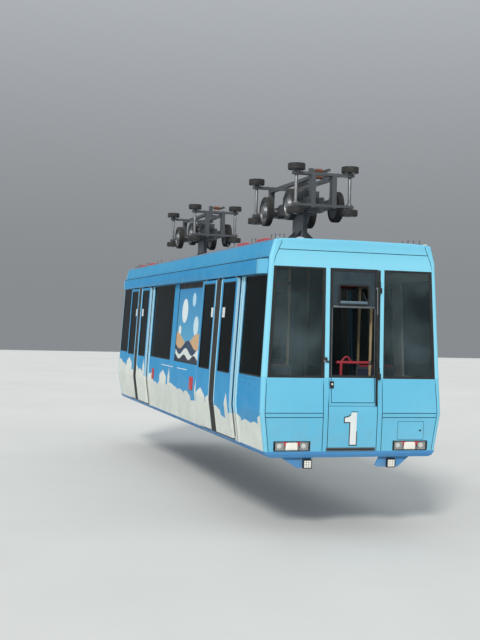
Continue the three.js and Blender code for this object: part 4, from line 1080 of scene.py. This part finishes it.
def under_lamp(name, turn, across, index):
    y0, y1, z0, z1 = UNDER_LAMP_BOX
    wide, tall = (y1 - y0 - 0.016) / 3, (z1 - z0 - 0.018) / 4
    lenses = []
    for column in range(3):
        for row in range(4):
            y, z = y0 + 0.008 + column * wide, z0 + 0.009 + row * tall
            lenses.append(block((-0.0005, y + 0.0016, z + 0.0016), (0.0032, y + wide - 0.0016, z + tall - 0.0016),
                                0.0014))
    lamp = Part(f"{name}_{index}", lambda points, turn: in_cabin(points + (UNDER_LAMP_X, across, 0), turn), turn)
    lamp.add("under_lamp_bezel", [border(inset(UNDER_LAMP_BOX, 0.0005), 0.0055, (-0.001, 0.004), 0.006, 0.004)],
             KNOB_BLACK)
    lamp.add("under_lamp_lenses", lenses, LAMP_WHITE)
    bolts = [turned(LAMP_BOLT, (-0.040, side * 0.068, -0.086), OUT, 6) for side in (-1, 1)]
    lamp.add("under_lamp_bolts", bolts, ALLOY)


for end_name, end_turn in ENDS:
    for lamp_index, lamp_y in enumerate(UNDER_LAMPS):
        under_lamp(end_name, end_turn, lamp_y, lamp_index)

# On the roof: rows of small posts with knobs, and a low aerial at each end

POST_TOPS = ((3.210, 0.073), (3.365, 0.073), (3.990, 0.073), (4.145, 0.073), (4.300, 0.060), (4.457, 0.049),
             (-2.420, 0.073), (-2.120, 0.073))
CABLE_Y, CABLE_ENDS, CABLE_SPAN = 0.898, (-4.30, 4.36), 0.72
AERIAL = (4.310, -0.600)


def roof_post(x, y, tall):
    """Base, thin stem and knob, turned; the stem's length makes up the height."""
    foot = float(roof_z(y)) - 0.003
    top = float(roof_z(y)) + tall
    profile = [(0.0, foot), (0.018, foot), (0.018, foot + 0.006), (0.006, foot + 0.009), (0.0045, top - 0.015),
               (0.009, top - 0.012), (0.010, top - 0.006), (0.007, top - 0.001), (0.0, top)]
    return turned(profile, (x, y, 0), UP, 14)


def roof_posts(name, turn):
    roof = Part(name, in_cabin, turn)
    roof.add("roof_posts", [roof_post(x, y, tall) for x, tall in POST_TOPS for y in (-0.850, 0.850)], DULL_ALLOY)
    x, y = AERIAL
    foot = float(roof_z(y)) - 0.003
    dome = [(0.0, foot), (0.055, foot), (0.058, foot + 0.006)]
    dome += [(0.012 + 0.040 * math.cos(angle), foot + 0.010 + 0.024 * math.sin(angle))
             for angle in np.linspace(0, math.pi / 2, 7)] + [(0.0, foot + 0.034)]
    whip = tube([(x, y, foot + 0.030), (x + 0.067, y, foot + 0.074)], 0.0028)
    roof.add("roof_aerial", [turned(dome, (x, y, 0), UP, 32), whip], AERIAL_GREY)


def roof_cable(name, turn):
    """A cable along the roof's edge that sags a little between its clips: a rectified sine on a straight run."""
    start, stop = CABLE_ENDS
    deck = roof_z(CABLE_Y)
    x = np.linspace(start, stop, 145)
    lift = 0.0055 + 0.002 * np.abs(np.sin((x - start) * math.pi / CABLE_SPAN))
    clips = [block((at - 0.010, -CABLE_Y - 0.014, deck - 0.002), (at + 0.010, -CABLE_Y + 0.014, deck + 0.014))
             for at in np.arange(start + CABLE_SPAN / 2, stop, CABLE_SPAN)]
    roof = Part(name, in_cabin, turn)
    roof.add("roof_cable", [tube(np.stack([x, np.full_like(x, -CABLE_Y), deck + lift], -1), 0.006)], CABLE_RED)
    roof.add("cable_clips", clips, DULL_ALLOY)


for side_name, side_turn in SIDES:
    roof_cable(side_name, side_turn)
for end_name, end_turn in ENDS:
    roof_posts(end_name, end_turn)

# Sliding doors

LEAF_ROWS = (LEAF_BOTTOM, 0.20, 0.404, 0.432, 0.456, 0.484, 0.66, LEAF_GLASS[2], 1.2, 1.6, LEAF_GLASS[3], LEAF_TOP)
LEAF_LABEL = (0.216, 0.336, 1.511, 1.639)
LEAF_LIP = 0.026
LEAF_HANGERS = (0.070, LEAF_WIDTH - 0.160)
HANGER_LAYERS = ((0.004, LEAF_TOP - 0.004, 2.072), (0.0115, 2.0658, 2.100))
HANGER_Y, HANGER_WIDTH = -1.079, 0.090


def door_leaf(side_name, turn, door, sign):
    """One leaf: painted frame, glass, rubber nose, edge and lip in painted highlight, roller hangers, a blank label.
    """
    centre = door * DOOR_CENTRE
    label = f"{side_name}_{forward(door * turn)}_{leaf_end(sign * turn)}"
    body = f"door_{label}"
    leaf = Part(label, on_side, turn, body, [body])

    def along(*offsets):
        return np.sort(centre + sign * np.array(offsets))

    xs = along(LEAF_GAP, RUBBER_WIDTH, *LEAF_GLASS[:2], LEAF_WIDTH - 0.004)
    grid_x, grid_z = np.meshgrid(xs, LEAF_ROWS, indexing="ij")
    points = np.stack([np.full_like(grid_x, LEAF_OUTER), grid_x, grid_z], -1)
    mid_x = (grid_x[1:, :-1] + grid_x[:-1, :-1]) / 2
    mid_z = (grid_z[:-1, 1:] + grid_z[:-1, :-1]) / 2
    x0, x1 = along(*LEAF_GLASS[:2])
    z0, z1 = LEAF_GLASS[2:]
    hole = (mid_x > x0) & (mid_x < x1) & (mid_z > z0) & (mid_z < z1)
    skin = leaf.add("leaf_skin", [grid_patch(points, keep=~hole)], LIVERY, closed=False)
    thickened(skin, LEAF_OUTER - LEAF_INNER, 0.003)

    pane = block((LEAF_OUTER - 0.016, x0 - 0.004, z0 - 0.004), (LEAF_OUTER - 0.010, x1 + 0.004, z1 + 0.004), 0.001, 1)
    leaf.add("leaf_glass", [pane], GLASS_SIDE, False)
    seal = border((x0, x1, z0, z1), 0.014, (LEAF_OUTER - 0.010, LEAF_OUTER - 0.003))
    bend = np.linspace(0, math.pi, 9)
    middle, half = (LEAF_GAP + RUBBER_WIDTH) / 2, (RUBBER_WIDTH - LEAF_GAP) / 2
    nose = np.stack([centre + sign * (middle - half * np.cos(bend)),
                     LEAF_OUTER - 0.002 + (RUBBER_PROUD + 0.002) * np.sqrt(np.clip(np.sin(bend), 0, 1))], -1)
    leaf.add("leaf_rubber", [seal, carried(nose, LEAF_ROWS, UPRIGHT)], RUBBER)

    a, b = along(LEAF_WIDTH - 0.004, LEAF_WIDTH - 0.0002)
    inner = LEAF_INNER + 0.0005
    edge = [(a, inner), (a, LEAF_OUTER), (b, LEAF_OUTER), (b, inner)]
    # Painted highlight: this edge and the lip below carry paler copies of the livery.
    leaf.add("leaf_edge", [carried(edge, LEAF_ROWS, UPRIGHT)], EDGE_HIGHLIGHT, False)

    hangers = []
    for start in LEAF_HANGERS:
        low_x, high_x = along(start, start + HANGER_WIDTH)
        hangers += [block((low_x, HANGER_Y - out, low), (high_x, HANGER_Y + out, high), 0.001, 1)
                    for out, low, high in HANGER_LAYERS]
    Part(label, in_cabin, turn, body).add("leaf_hangers", hangers, ALLOY)

    a, b = along(RUBBER_WIDTH, RUBBER_WIDTH + LEAF_LIP)
    foot, rim = LEAF_OUTER - 0.002, LEAF_OUTER + 0.002
    lip = [(a, foot), (a, rim), (a + 0.002, rim + 0.001), (b - 0.002, rim + 0.001), (b, rim), (b, foot)]
    leaf.add("leaf_lip", [carried(lip, LEAF_ROWS, UPRIGHT)], LIP_HIGHLIGHT, False)

    a, b = along(*LEAF_LABEL[:2])
    spot = block((LEAF_OUTER - 0.010, a, LEAF_LABEL[2]), (LEAF_OUTER - 0.009, b, LEAF_LABEL[3]), 0.0004, 1)
    leaf.add("leaf_label", [spot], LABEL, False)


for side_name, side_turn in SIDES:
    for door_sign in (-1, 1):
        for leaf_sign in (-1, 1):
            door_leaf(side_name, side_turn, door_sign, leaf_sign)

# Wheels and guide rollers

EIGHTH_TURNS = np.arange(8) * math.pi / 4
TYRE_FOOT, TYRE_GROOVES = 0.152, (0.028, 0.045, 0.062)
WHEEL_STUD = ((0.0, 0.012), (0.009, 0.012), (0.011, 0.009), (0.011, 0.0), (0.0, 0.0))
STUD_CIRCLE = 0.112
SHAFT_R = 0.0349
ROLLER_LEVELS = ((0.055, 0.135), (0.600, 0.680))
SPINDLE = ((0.0, 0.045), (0.0205, 0.045), (0.0218, 0.048), (0.0218, 0.1855), (0.0395, 0.1855), (0.0395, 0.2050),
           (0.0218, 0.2050), (0.0218, 0.687), (0.020, 0.690), (0.0, 0.690))


def rounded_rim(radius, low, high, soft):
    """Outer edge of a tyre as (radius, height): two quarter circles of the given softness."""
    angle = np.linspace(0, math.pi / 2, 7)
    out = radius - soft + soft * np.sin(angle)
    rise = np.stack([out, low + soft - soft * np.cos(angle)], -1)
    fall = np.stack([out, high - soft + soft * np.cos(angle)], -1)
    return rise.tolist(), fall[::-1].tolist()


def tread_grooves(radius, places, width=0.003, depth=0.004):
    """Points that dip a groove into the tread at each place."""
    return [(radius - dip, at + step * width) for at in places
            for dip, step in ((0, -1), (depth, -0.6), (depth, 0.6), (0, 1))]


def axle_pieces(end_name, middle, sign):
    """Shaft, two dished hubs with wheel bolts, and two solid tyres with three grooves each."""
    low, high = WHEEL_Y
    rise, fall = rounded_rim(WHEEL_R, low, high, 0.014)
    tread = tread_grooves(WHEEL_R, [low + groove for groove in TYRE_GROOVES])
    foot = [(TYRE_FOOT, low + 0.002), (0.160, low)]
    tyre = foot + rise + tread + fall + [(0.160, high), (TYRE_FOOT, high - 0.002), foot[0]]
    hub = [(0.035, low + 0.002), (0.080, low - 0.001), (0.148, low + 0.004), (0.1519, low + 0.004),
           (0.1519, high - 0.006), (0.146, high - 0.006), (0.140, high - 0.026), (0.086, high - 0.030),
           (0.078, high - 0.018), (0.066, high + 0.006), (0.060, high + 0.014), (0.0, high + 0.0148)]
    shaft = [(0.0, -low - 0.002), (SHAFT_R, -low - 0.002), (SHAFT_R, low + 0.002), (0.0, low + 0.002)]
    centre = np.array((sign * AXLE_HALF, 0, WHEEL_R))
    tyres, metal = [], []
    for side in (-1, 1):
        axis = (0, side, 0)
        tyres.append(turned(tyre, centre, axis, 72))
        metal.append(turned(hub, centre, axis, 60))
        metal += [turned(WHEEL_STUD, centre + (STUD_CIRCLE * math.cos(angle), side * (high - 0.029),
                                               STUD_CIRCLE * math.sin(angle)), axis, 6) for angle in EIGHTH_TURNS]
    metal.append(turned(shaft, centre, (0, 1, 0), 36))
    label = f"{end_name}_{leaf_end(sign)}"
    axle = Part(label, in_bogie, middle, f"axle_{label}", [f"axle_{label}"])
    axle.add("tyres", tyres, TYRE)
    axle.add("hubs", metal, BRIGHT_STEEL)


def roller_pieces(end_name, middle, sign, side):
    """Spindle with a collar, and an upper and a lower rubber-rimmed roller."""
    centre = (sign * ROLLER_X, side * ROLLER_Y, 0)
    rubber, metal = [], []
    for low, high in ROLLER_LEVELS:
        rise, fall = rounded_rim(ROLLER_R, low, high, 0.010)
        foot = (0.076, low + 0.002)
        rubber.append(turned([foot, *rise, *fall, (0.076, high - 0.002), foot], centre, UP, 48))
        disc = [(0.022, low + 0.001), (0.060, low + 0.004), (0.0759, low + 0.004), (0.0759, high - 0.004),
                (0.060, high - 0.004), (0.034, high - 0.0005), (0.022, high - 0.0005)]
        metal.append(turned(disc, centre, UP, 36))
    metal.append(turned(SPINDLE, centre, UP, 24))
    label = f"{end_name}_{leaf_end(sign)}_{'right' if side < 0 else 'left'}"
    roller = Part(label, in_bogie, middle, f"rollers_{label}", [f"rollers_{label}"])
    roller.add("roller_rubber", rubber, TYRE)
    roller.add("roller_metal", metal, BRIGHT_STEEL)


# Bogie frames: the solids stay, and fins, bolts, welds, flanges and insulators go on them

HEX_BOLT = np.array([(0.0, 0.011), (0.010, 0.011), (0.012, 0.009), (0.012, -0.001), (0.0, -0.001)])
WASHER = ((0.0, 0.004), (0.022, 0.004), (0.023, 0.002), (0.023, -0.001), (0.0, -0.001))
UPPER_FLANGE = ((0.026, 0.579), (0.040, 0.579), (0.040, 0.589), (0.037, 0.592), (0.027, 0.592), (0.026, 0.591),
                (0.026, 0.579))
LOWER_FLANGE = ((0.026, 0.142), (0.037, 0.142), (0.040, 0.145), (0.040, 0.151), (0.026, 0.151), (0.026, 0.142))
WELDS = ((0.785, 0.110, 0.188, 0.785, 0.110, 0.542), (0.785, 0.172, 0.187, 0.873, 0.172, 0.187),
         (0.166, 0.110, 0.262, 0.166, 0.168, 0.262))
INSULATOR_Z, STRIP_Z = (0.6525, 0.7325), ((0.6365, 0.6685), (0.7165, 0.7485))
BEARING_BOLT_CIRCLE = 0.130
HANGER_FOOT_Z = 2.4903


def hex_bolts(places, scale=1.0):
    """Six-sided heads standing on the given points."""
    return [turned(HEX_BOLT * scale, at, UP, 6) for at in places]


def motor_fins():
    """Cooling fins over each motor: a thin arch repeated along the motor."""
    outer = rectangle((-0.111, 0.111, 0.268, 0.4045), 0.012)
    inner = rectangle((-0.101, 0.101, 0.272, 0.396), 0.010)
    return [ring(outer, inner, (end * along - 0.003, end * along + 0.003))
            for end in (-1, 1) for along in np.arange(0.190, 0.405, 0.018)]


def weld(start, stop):
    """A weld bead: a thin tube whose line wavers a little with a sine, as the torch was moved."""
    run = np.linspace(0, 1, 25)[:, None]
    return tube(start + run * (stop - start) + (0, 0, 0.0008) * np.sin(run * 75.0), 0.005, 8)


def bogie_details(end_name, middle):
    softened(f"bogie_frame_{end_name}", STEEL)
    softened(f"hanger_{end_name}", HANGER_PAINT)
    bogie = Part(end_name, in_bogie, middle, f"bogie_{end_name}")
    bogie.add("motor_fins", motor_fins(), CAST)
    bolts = [(BEARING_BOLT_CIRCLE * math.cos(angle), BEARING_BOLT_CIRCLE * math.sin(angle), 0.310)
             for angle in EIGHTH_TURNS + math.pi / 8]
    flanges, beads = [], []
    for end in (-1, 1):
        bolts += [(end * along, across, 0.300) for along in (0.440, 0.500, 0.560) for across in (-0.090, 0.090)]
        bolts += [(end * 0.830, across, 0.580) for across in (-0.200, 0.200)]
        flanges += [turned(flange, (end * ROLLER_X, side * ROLLER_Y, 0), UP, 28)
                    for side in (-1, 1) for flange in (UPPER_FLANGE, LOWER_FLANGE)]
        beads += [weld(np.array(line[:3]) * (end, side, 1), np.array(line[3:]) * (end, side, 1))
                  for line in WELDS for side in (-1, 1)]
    bogie.add("frame_bolts", hex_bolts(bolts), BRIGHT_STEEL)
    bogie.add("spindle_flanges", flanges, BRIGHT_STEEL)
    bogie.add("frame_welds", beads, STEEL)
    ribs = [(0.0, 0.190)]
    for y in np.arange(0.196, 0.290, 0.018):
        ribs += [(0.025, y), (0.034, y + 0.006), (0.034, y + 0.009), (0.025, y + 0.015)]
    ribs.append((0.0, 0.296))
    bogie.add("collector_insulators", [turned(ribs, (0, 0, z), (0, 1, 0), 28) for z in INSULATOR_Z], CERAMIC)
    bogie.add("collector_strips", [block((-0.148, 0.3592, z0), (0.148, 0.3605, z1), 0.0006, 1) for z0, z1 in STRIP_Z],
              CARBON)
    feet = [(end * along, side * 0.255, HANGER_FOOT_Z - DROP)
            for end in (-1, 1) for along in (0.20, 0.355) for side in (-1, 1)]
    heads = hex_bolts([(x, y, z + 0.0035) for x, y, z in feet], 1.5)
    Part(end_name, in_bogie, middle).add("hanger_bolts", [turned(WASHER, at, UP, 24) for at in feet] + heads,
                                         BRIGHT_STEEL)


for end_name, end_turn in ENDS:
    bogie_details(end_name, end_turn * BOGIE_X)
    for part in (-1, 1):
        axle_pieces(end_name, end_turn * BOGIE_X, part)
        for flank in (-1, 1):
            roller_pieces(end_name, end_turn * BOGIE_X, part, flank)

# Handrails

RAIL_R = 0.017
RAIL_HIGH, RAIL_LOW = 1.952, 0.940
RAIL_Y, RAIL_WALL = -0.470, -0.930
RAIL_SEAT, RAIL_VESTIBULE = 3.590, 1.700
RAIL_END, RAIL_END_LOW, RAIL_END_POLE = 4.330, 1.015, -0.310
RAIL_END_POST, RAIL_END_REACH = 0.058, 0.117
RAIL_BEND = 0.012
ARCH_ENDS, ARCH_RISE = (-0.070, 0.054), 0.060
FLOOR_TOP = 0.050
POLE_PLATE = ((0.017, 0.0), (0.040, 0.0), (0.040, 0.004), (0.034, 0.008), (0.020, 0.010), (0.017, 0.012),
              (0.017, 0.0))
CLAMP = ((0.0168, -0.024), (0.0205, -0.022), (0.0215, 0.0), (0.0205, 0.022), (0.0168, 0.024))


def ceiling_at(y):
    return 2.395 - 0.015 * abs(y) / 0.930 - 0.0015


def grab_arch():
    """A grab arch on the end rail: half a sine between its two feet."""
    t = np.linspace(0, 1, 15)
    y = ARCH_ENDS[0] + t * (ARCH_ENDS[1] - ARCH_ENDS[0])
    return np.stack([np.full(15, -RAIL_END), y, RAIL_END_LOW + 0.008 + ARCH_RISE * np.sin(t * math.pi)], -1)


def rails(side_name, turn):
    """Red rails with round bends, cream poles with foot and head plates; the same runs as the solids."""
    foot = FLOOR_TOP + 0.001
    runs = [[(RAIL_SEAT, RAIL_Y, RAIL_HIGH), (-RAIL_END, RAIL_Y, RAIL_HIGH), (-RAIL_END, RAIL_END_POLE, RAIL_HIGH)],
            [(-RAIL_END, RAIL_END_POLE, RAIL_END_LOW), (-RAIL_END, RAIL_END_REACH, RAIL_END_LOW)],
            [(-RAIL_END, RAIL_END_POST, RAIL_END_LOW), (-RAIL_END, RAIL_END_POST, foot)]]
    runs += [[(x, RAIL_Y, RAIL_LOW), (x, RAIL_WALL, RAIL_LOW), (x, RAIL_WALL, foot)] for x in (-RAIL_SEAT, RAIL_SEAT)]
    red = [tube(rounded_path(run, RAIL_BEND), RAIL_R, 16) for run in runs]
    red.insert(3, tube(grab_arch(), 0.010, 12))
    poles = [(x, RAIL_Y) for x in (-RAIL_SEAT, -RAIL_VESTIBULE, RAIL_VESTIBULE, RAIL_SEAT)]
    poles.append((-RAIL_END, RAIL_END_POLE))
    joints = [(x, y, RAIL_HIGH) for x, y in poles] + [(x, RAIL_Y, RAIL_LOW) for x in (-RAIL_SEAT, RAIL_SEAT)]
    joints.append((-RAIL_END, RAIL_END_POLE, RAIL_END_LOW))
    cream, fittings = [], []
    for x, y in poles:
        head = ceiling_at(y)
        cream.append(tube([(x, y, foot), (x, y, 1.0), (x, y, head)], RAIL_R - 0.0006, 16))
        fittings += [turned(POLE_PLATE, (x, y, foot), UP, 24), turned(POLE_PLATE, (x, y, head), (0, 0, -1), 24)]
    fittings += [turned(CLAMP, joint) for joint in joints]
    inside = Part(side_name, in_cabin, turn, stands_for=[f"handrails_{side_name}"])
    inside.add("rails_red", red, RAIL_RED)
    inside.add("poles_cream", cream, POLE_CREAM)
    inside.add("rail_fittings", fittings, ALLOY)


# Seats: a moulded shell carried along the seat, with stuffed pads that sit in it

SEAT_DEPTH, BACK_TOP, BENCH_BACK_TOP = 0.430, 0.940, 0.850
SEAT_BACK_X = 3.615
SEAT_Y = (-0.970, -0.430)
BENCH_HALF, BENCH_WALL, BENCH_FRONT = 1.500, -1.000, -0.560
PAD_SEAT_Z, SHELL_UNDER = 0.440, 0.404


def shell_section(depth, back_top):
    """Side view of a seat shell as (forwards, height): outer line down and forwards, inner line back up."""
    corner = [(math.sin(angle), math.cos(angle)) for angle in np.linspace(0, math.pi / 2, 6)]
    outer = [(0.002, back_top - 0.004), (0.002, 0.430)]
    outer += [(0.030 - 0.028 * cosine, 0.430 - 0.028 * sine) for sine, cosine in corner]
    outer += [(depth - 0.020, 0.402), (depth - 0.006, 0.408), (depth - 0.001, 0.424), (depth - 0.004, 0.446),
              (depth - 0.012, 0.452)]
    inner = [(depth - 0.030, 0.440), (0.060, 0.430)]
    inner += [(0.040 - 0.020 * sine, 0.450 - 0.020 * cosine) for sine, cosine in corner]
    return outer + inner + [(0.020, back_top - 0.010), (0.012, back_top - 0.001)]


def stuffed_pad(length, width, height, channels, pull=0.010):
    """A crowned pad round the origin, flat below, over a grid of u along and v across from -1 to 1.

    Height falls to nothing at the rim as the cube root of (1 - u^8)(1 - v^8); each sewn channel takes a
    Gaussian out of it; the sides pull in by a cosine between the corners.
    """
    u = np.linspace(-1, 1, 12 * (channels + 1) + 1)
    v = np.sin(np.linspace(-math.pi / 2, math.pi / 2, 19))
    u, v = np.meshgrid(u, v, indexing="ij")
    crown = np.cbrt(np.clip((1 - u ** 8) * (1 - v ** 8), 0, 1)) * (0.82 + 0.18 * (1 - u ** 2) * (1 - v ** 2))
    for place in (np.arange(channels) + 1) * 2 / (channels + 1) - 1:
        crown -= 0.42 * np.exp(-((u - place) * length / 2 / 0.009) ** 2) * np.clip(1 - v ** 8, 0, 1)
    along = u * (length / 2 - pull * np.cos(v * math.pi / 2) * np.abs(u) ** 6)
    across = v * (width / 2 - pull * np.cos(u * math.pi / 2) * np.abs(v) ** 6)
    top = np.stack([along, across, height * np.clip(crown, 0, 1)], -1)
    return [grid_patch(top), grid_patch(top * (1, 1, 0))]


def pad(seat, name, patches, matrix, centre):
    """A pad on its seat: the matrix's rows say where its along, across and height go."""
    placed = [(points @ np.array(matrix, float) + centre, faces) for points, faces in patches]
    seat.add(name, placed, FABRIC, False, smooth=70)


def cross_seat(side_name, turn, end):
    """Seat across the car: shell, plinth, a seat pad and a back pad."""
    label = f"{side_name}_{forward(end * turn)}"
    seat = Part(label, in_cabin, turn, stands_for=[f"seats_{label}"])
    y0, y1 = SEAT_Y
    points, faces = carried(shell_section(SEAT_DEPTH, BACK_TOP), (y0 + 0.001, y1 - 0.001), (0, 2, 1))
    seat.add("chair_shell", [((points + (SEAT_BACK_X, 0, 0)) * (end, 1, 1), faces)], SEAT_SHELL)
    x0, x1 = sorted(end * (SEAT_BACK_X + np.array([0.062, 0.298])))
    foot = [block((x0, y0 + 0.082, FLOOR_TOP + 0.001), (x1, y1 - 0.082, SHELL_UNDER), 0.020, 3),
            block((x0 - 0.001, y0 + 0.081, FLOOR_TOP + 0.0005), (x1 + 0.001, y1 - 0.081, FLOOR_TOP + 0.020), 0.004)]
    seat.add("chair_foot", foot, STEEL, slot="seat_shell")
    middle, width = (y0 + y1) / 2, y1 - y0 - 0.040
    pad(seat, "chair_pad", stuffed_pad(width, 0.345, 0.038, 1), ((0, 1, 0), (end, 0, 0), (0, 0, 1)),
        (end * (SEAT_BACK_X + 0.235), middle, PAD_SEAT_Z))
    pad(seat, "chair_back_pad", stuffed_pad(width, 0.420, 0.036, 1), ((0, 1, 0), (0, 0, 1), (end, 0, 0)),
        (end * (SEAT_BACK_X + 0.021), middle, 0.705))


def wall_bench(side_name, turn):
    """Bench along the wall with six places: shell, plinth, one long seat pad and one back pad."""
    bench = Part(side_name, in_cabin, turn, stands_for=[f"bench_{side_name}"])
    stations = np.linspace(-BENCH_HALF + 0.001, BENCH_HALF - 0.001, 7)
    points, faces = carried(shell_section(BENCH_FRONT - BENCH_WALL, BENCH_BACK_TOP), stations)
    bench.add("bench_shell", [(points + (0, BENCH_WALL, 0), faces)], SEAT_SHELL)
    low = (-BENCH_HALF + 0.062, BENCH_WALL + 0.032, FLOOR_TOP + 0.001)
    high = (BENCH_HALF - 0.062, BENCH_FRONT - 0.092, SHELL_UNDER)
    bench.add("bench_plinth", [block(low, high, 0.015, 3)], STEEL, slot="seat_shell")
    length = 2 * BENCH_HALF - 0.040
    pad(bench, "bench_pad", stuffed_pad(length, 0.355, 0.038, 5), np.eye(3), (0, BENCH_WALL + 0.232, PAD_SEAT_Z))
    pad(bench, "bench_back_pad", stuffed_pad(length, 0.330, 0.034, 5), ((1, 0, 0), (0, 0, 1), (0, 0.66, 0)),
        (0, BENCH_WALL + 0.021, 0.665))


for side_name, side_turn in SIDES:
    rails(side_name, side_turn)
    wall_bench(side_name, side_turn)
    for end_sign in (-1, 1):
        cross_seat(side_name, side_turn, end_sign)

LIGHT_Y, LIGHT_HALF, LIGHT_DEPTH = -0.640, 0.070, 0.028
LIGHT_STATIONS = (-4.0, -1.4, 1.4, 4.0)


def ceiling_light(side_name, turn):
    """Long light under the ceiling: a shallow half-ellipse carried along the cabin, with end caps."""
    angle = np.linspace(0, math.pi, 11)
    top = ceiling_at(LIGHT_Y) + 0.001
    section = np.stack([LIGHT_Y + LIGHT_HALF * np.cos(angle), top - LIGHT_DEPTH * np.sin(angle)], -1)
    Part(side_name, in_cabin, turn).add("ceiling_light", [carried(section, LIGHT_STATIONS)], DIFFUSER)


for side_name, side_turn in SIDES:
    ceiling_light(side_name, side_turn)

# Stage, light and camera

CAMERA_PLACE = (15.849, -4.734, -1.320)
CAMERA_YAW, CAMERA_PITCH, CAMERA_ROLL = (math.radians(angle) for angle in (163.453, 0.095, 1.552))
FOCAL_PIXELS, FRAME_LONG_SIDE = 1052.0, 640
STAGE_REACH = 60.0
SKY_COLOUR = (0.82, 0.87, 0.92, 1.0)
SKY_RISE = (0.0, 0.75, 0.30, 0.95)


def build_camera():
    """The camera that the photograph's corners give: yaw from +X, small pitch, then a roll."""
    level_reach = math.cos(CAMERA_PITCH)
    ahead = Vector((level_reach * math.cos(CAMERA_YAW), level_reach * math.sin(CAMERA_YAW), math.sin(CAMERA_PITCH)))
    level = ahead.cross(Vector(UP)).normalized()
    above = level.cross(ahead)
    right = level * math.cos(CAMERA_ROLL) + above * math.sin(CAMERA_ROLL)
    up = above * math.cos(CAMERA_ROLL) - level * math.sin(CAMERA_ROLL)
    data = bpy.data.cameras.new("camera")
    data.sensor_width = 36.0
    data.lens = FOCAL_PIXELS * data.sensor_width / FRAME_LONG_SIDE
    camera = in_scene("camera", data)
    turn = Matrix((right, up, -ahead)).transposed().to_4x4()
    camera.matrix_world = Matrix.Translation(Vector(CAMERA_PLACE)) @ turn
    bpy.context.scene.camera = camera


def build_stage():
    points, faces = grid_patch([[(x, y, FLOOR_Z) for y in (-STAGE_REACH, STAGE_REACH)]
                                for x in (-STAGE_REACH, STAGE_REACH)])
    mesh = bpy.data.meshes.new("floor_plane")
    mesh.from_pydata(points.tolist(), [], faces)
    floor = in_scene("floor_plane", mesh)
    pale = Finish("pale_floor", None, (208, 208, 204), 0.8)
    pale.set(pale.shader, {"Base Color": pale.mottled((208, 208, 204), (202, 202, 198), 0.4, 3.0, 0.3)})
    mesh.materials.append(pale.material)


def sun(name, towards, energy, colour, angle):
    data = bpy.data.lights.new(name, "SUN")
    data.energy = energy
    data.color = colour
    data.angle = math.radians(angle)
    light = in_scene(name, data)
    direction = Vector(towards).normalized()
    light.location = direction * 14.0
    light.rotation_mode = "QUATERNION"
    light.rotation_quaternion = direction.to_track_quat("Z", "Y")


def build_light():
    """A sky that is dim along the horizon and brighter overhead, a key lamp and a weak fill."""
    world = bpy.data.worlds.new("studio")
    world.use_nodes = True
    tree = world.node_tree
    sky = tree.nodes["Background"]
    where, split, rise = (tree.nodes.new(f"ShaderNode{kind}") for kind in ("TexCoord", "SeparateXYZ", "MapRange"))
    rise.interpolation_type = "SMOOTHSTEP"
    tree.links.new(where.outputs["Generated"], split.inputs[0])
    tree.links.new(split.outputs[2], rise.inputs[0])
    for socket, value in enumerate(SKY_RISE, 1):
        rise.inputs[socket].default_value = value
    tree.links.new(rise.outputs[0], sky.inputs["Strength"])
    sky.inputs["Color"].default_value = SKY_COLOUR
    bpy.context.scene.world = world
    sun("key", (1.2, -0.69, 1.0), 2.15, (1.0, 0.98, 0.94), 12)
    sun("fill", (-0.4, -1.0, 0.5), 0.35, (0.90, 0.95, 1.0), 60)
    bpy.context.scene.view_settings.view_transform = "Standard"


build_camera()
build_stage()
build_light()
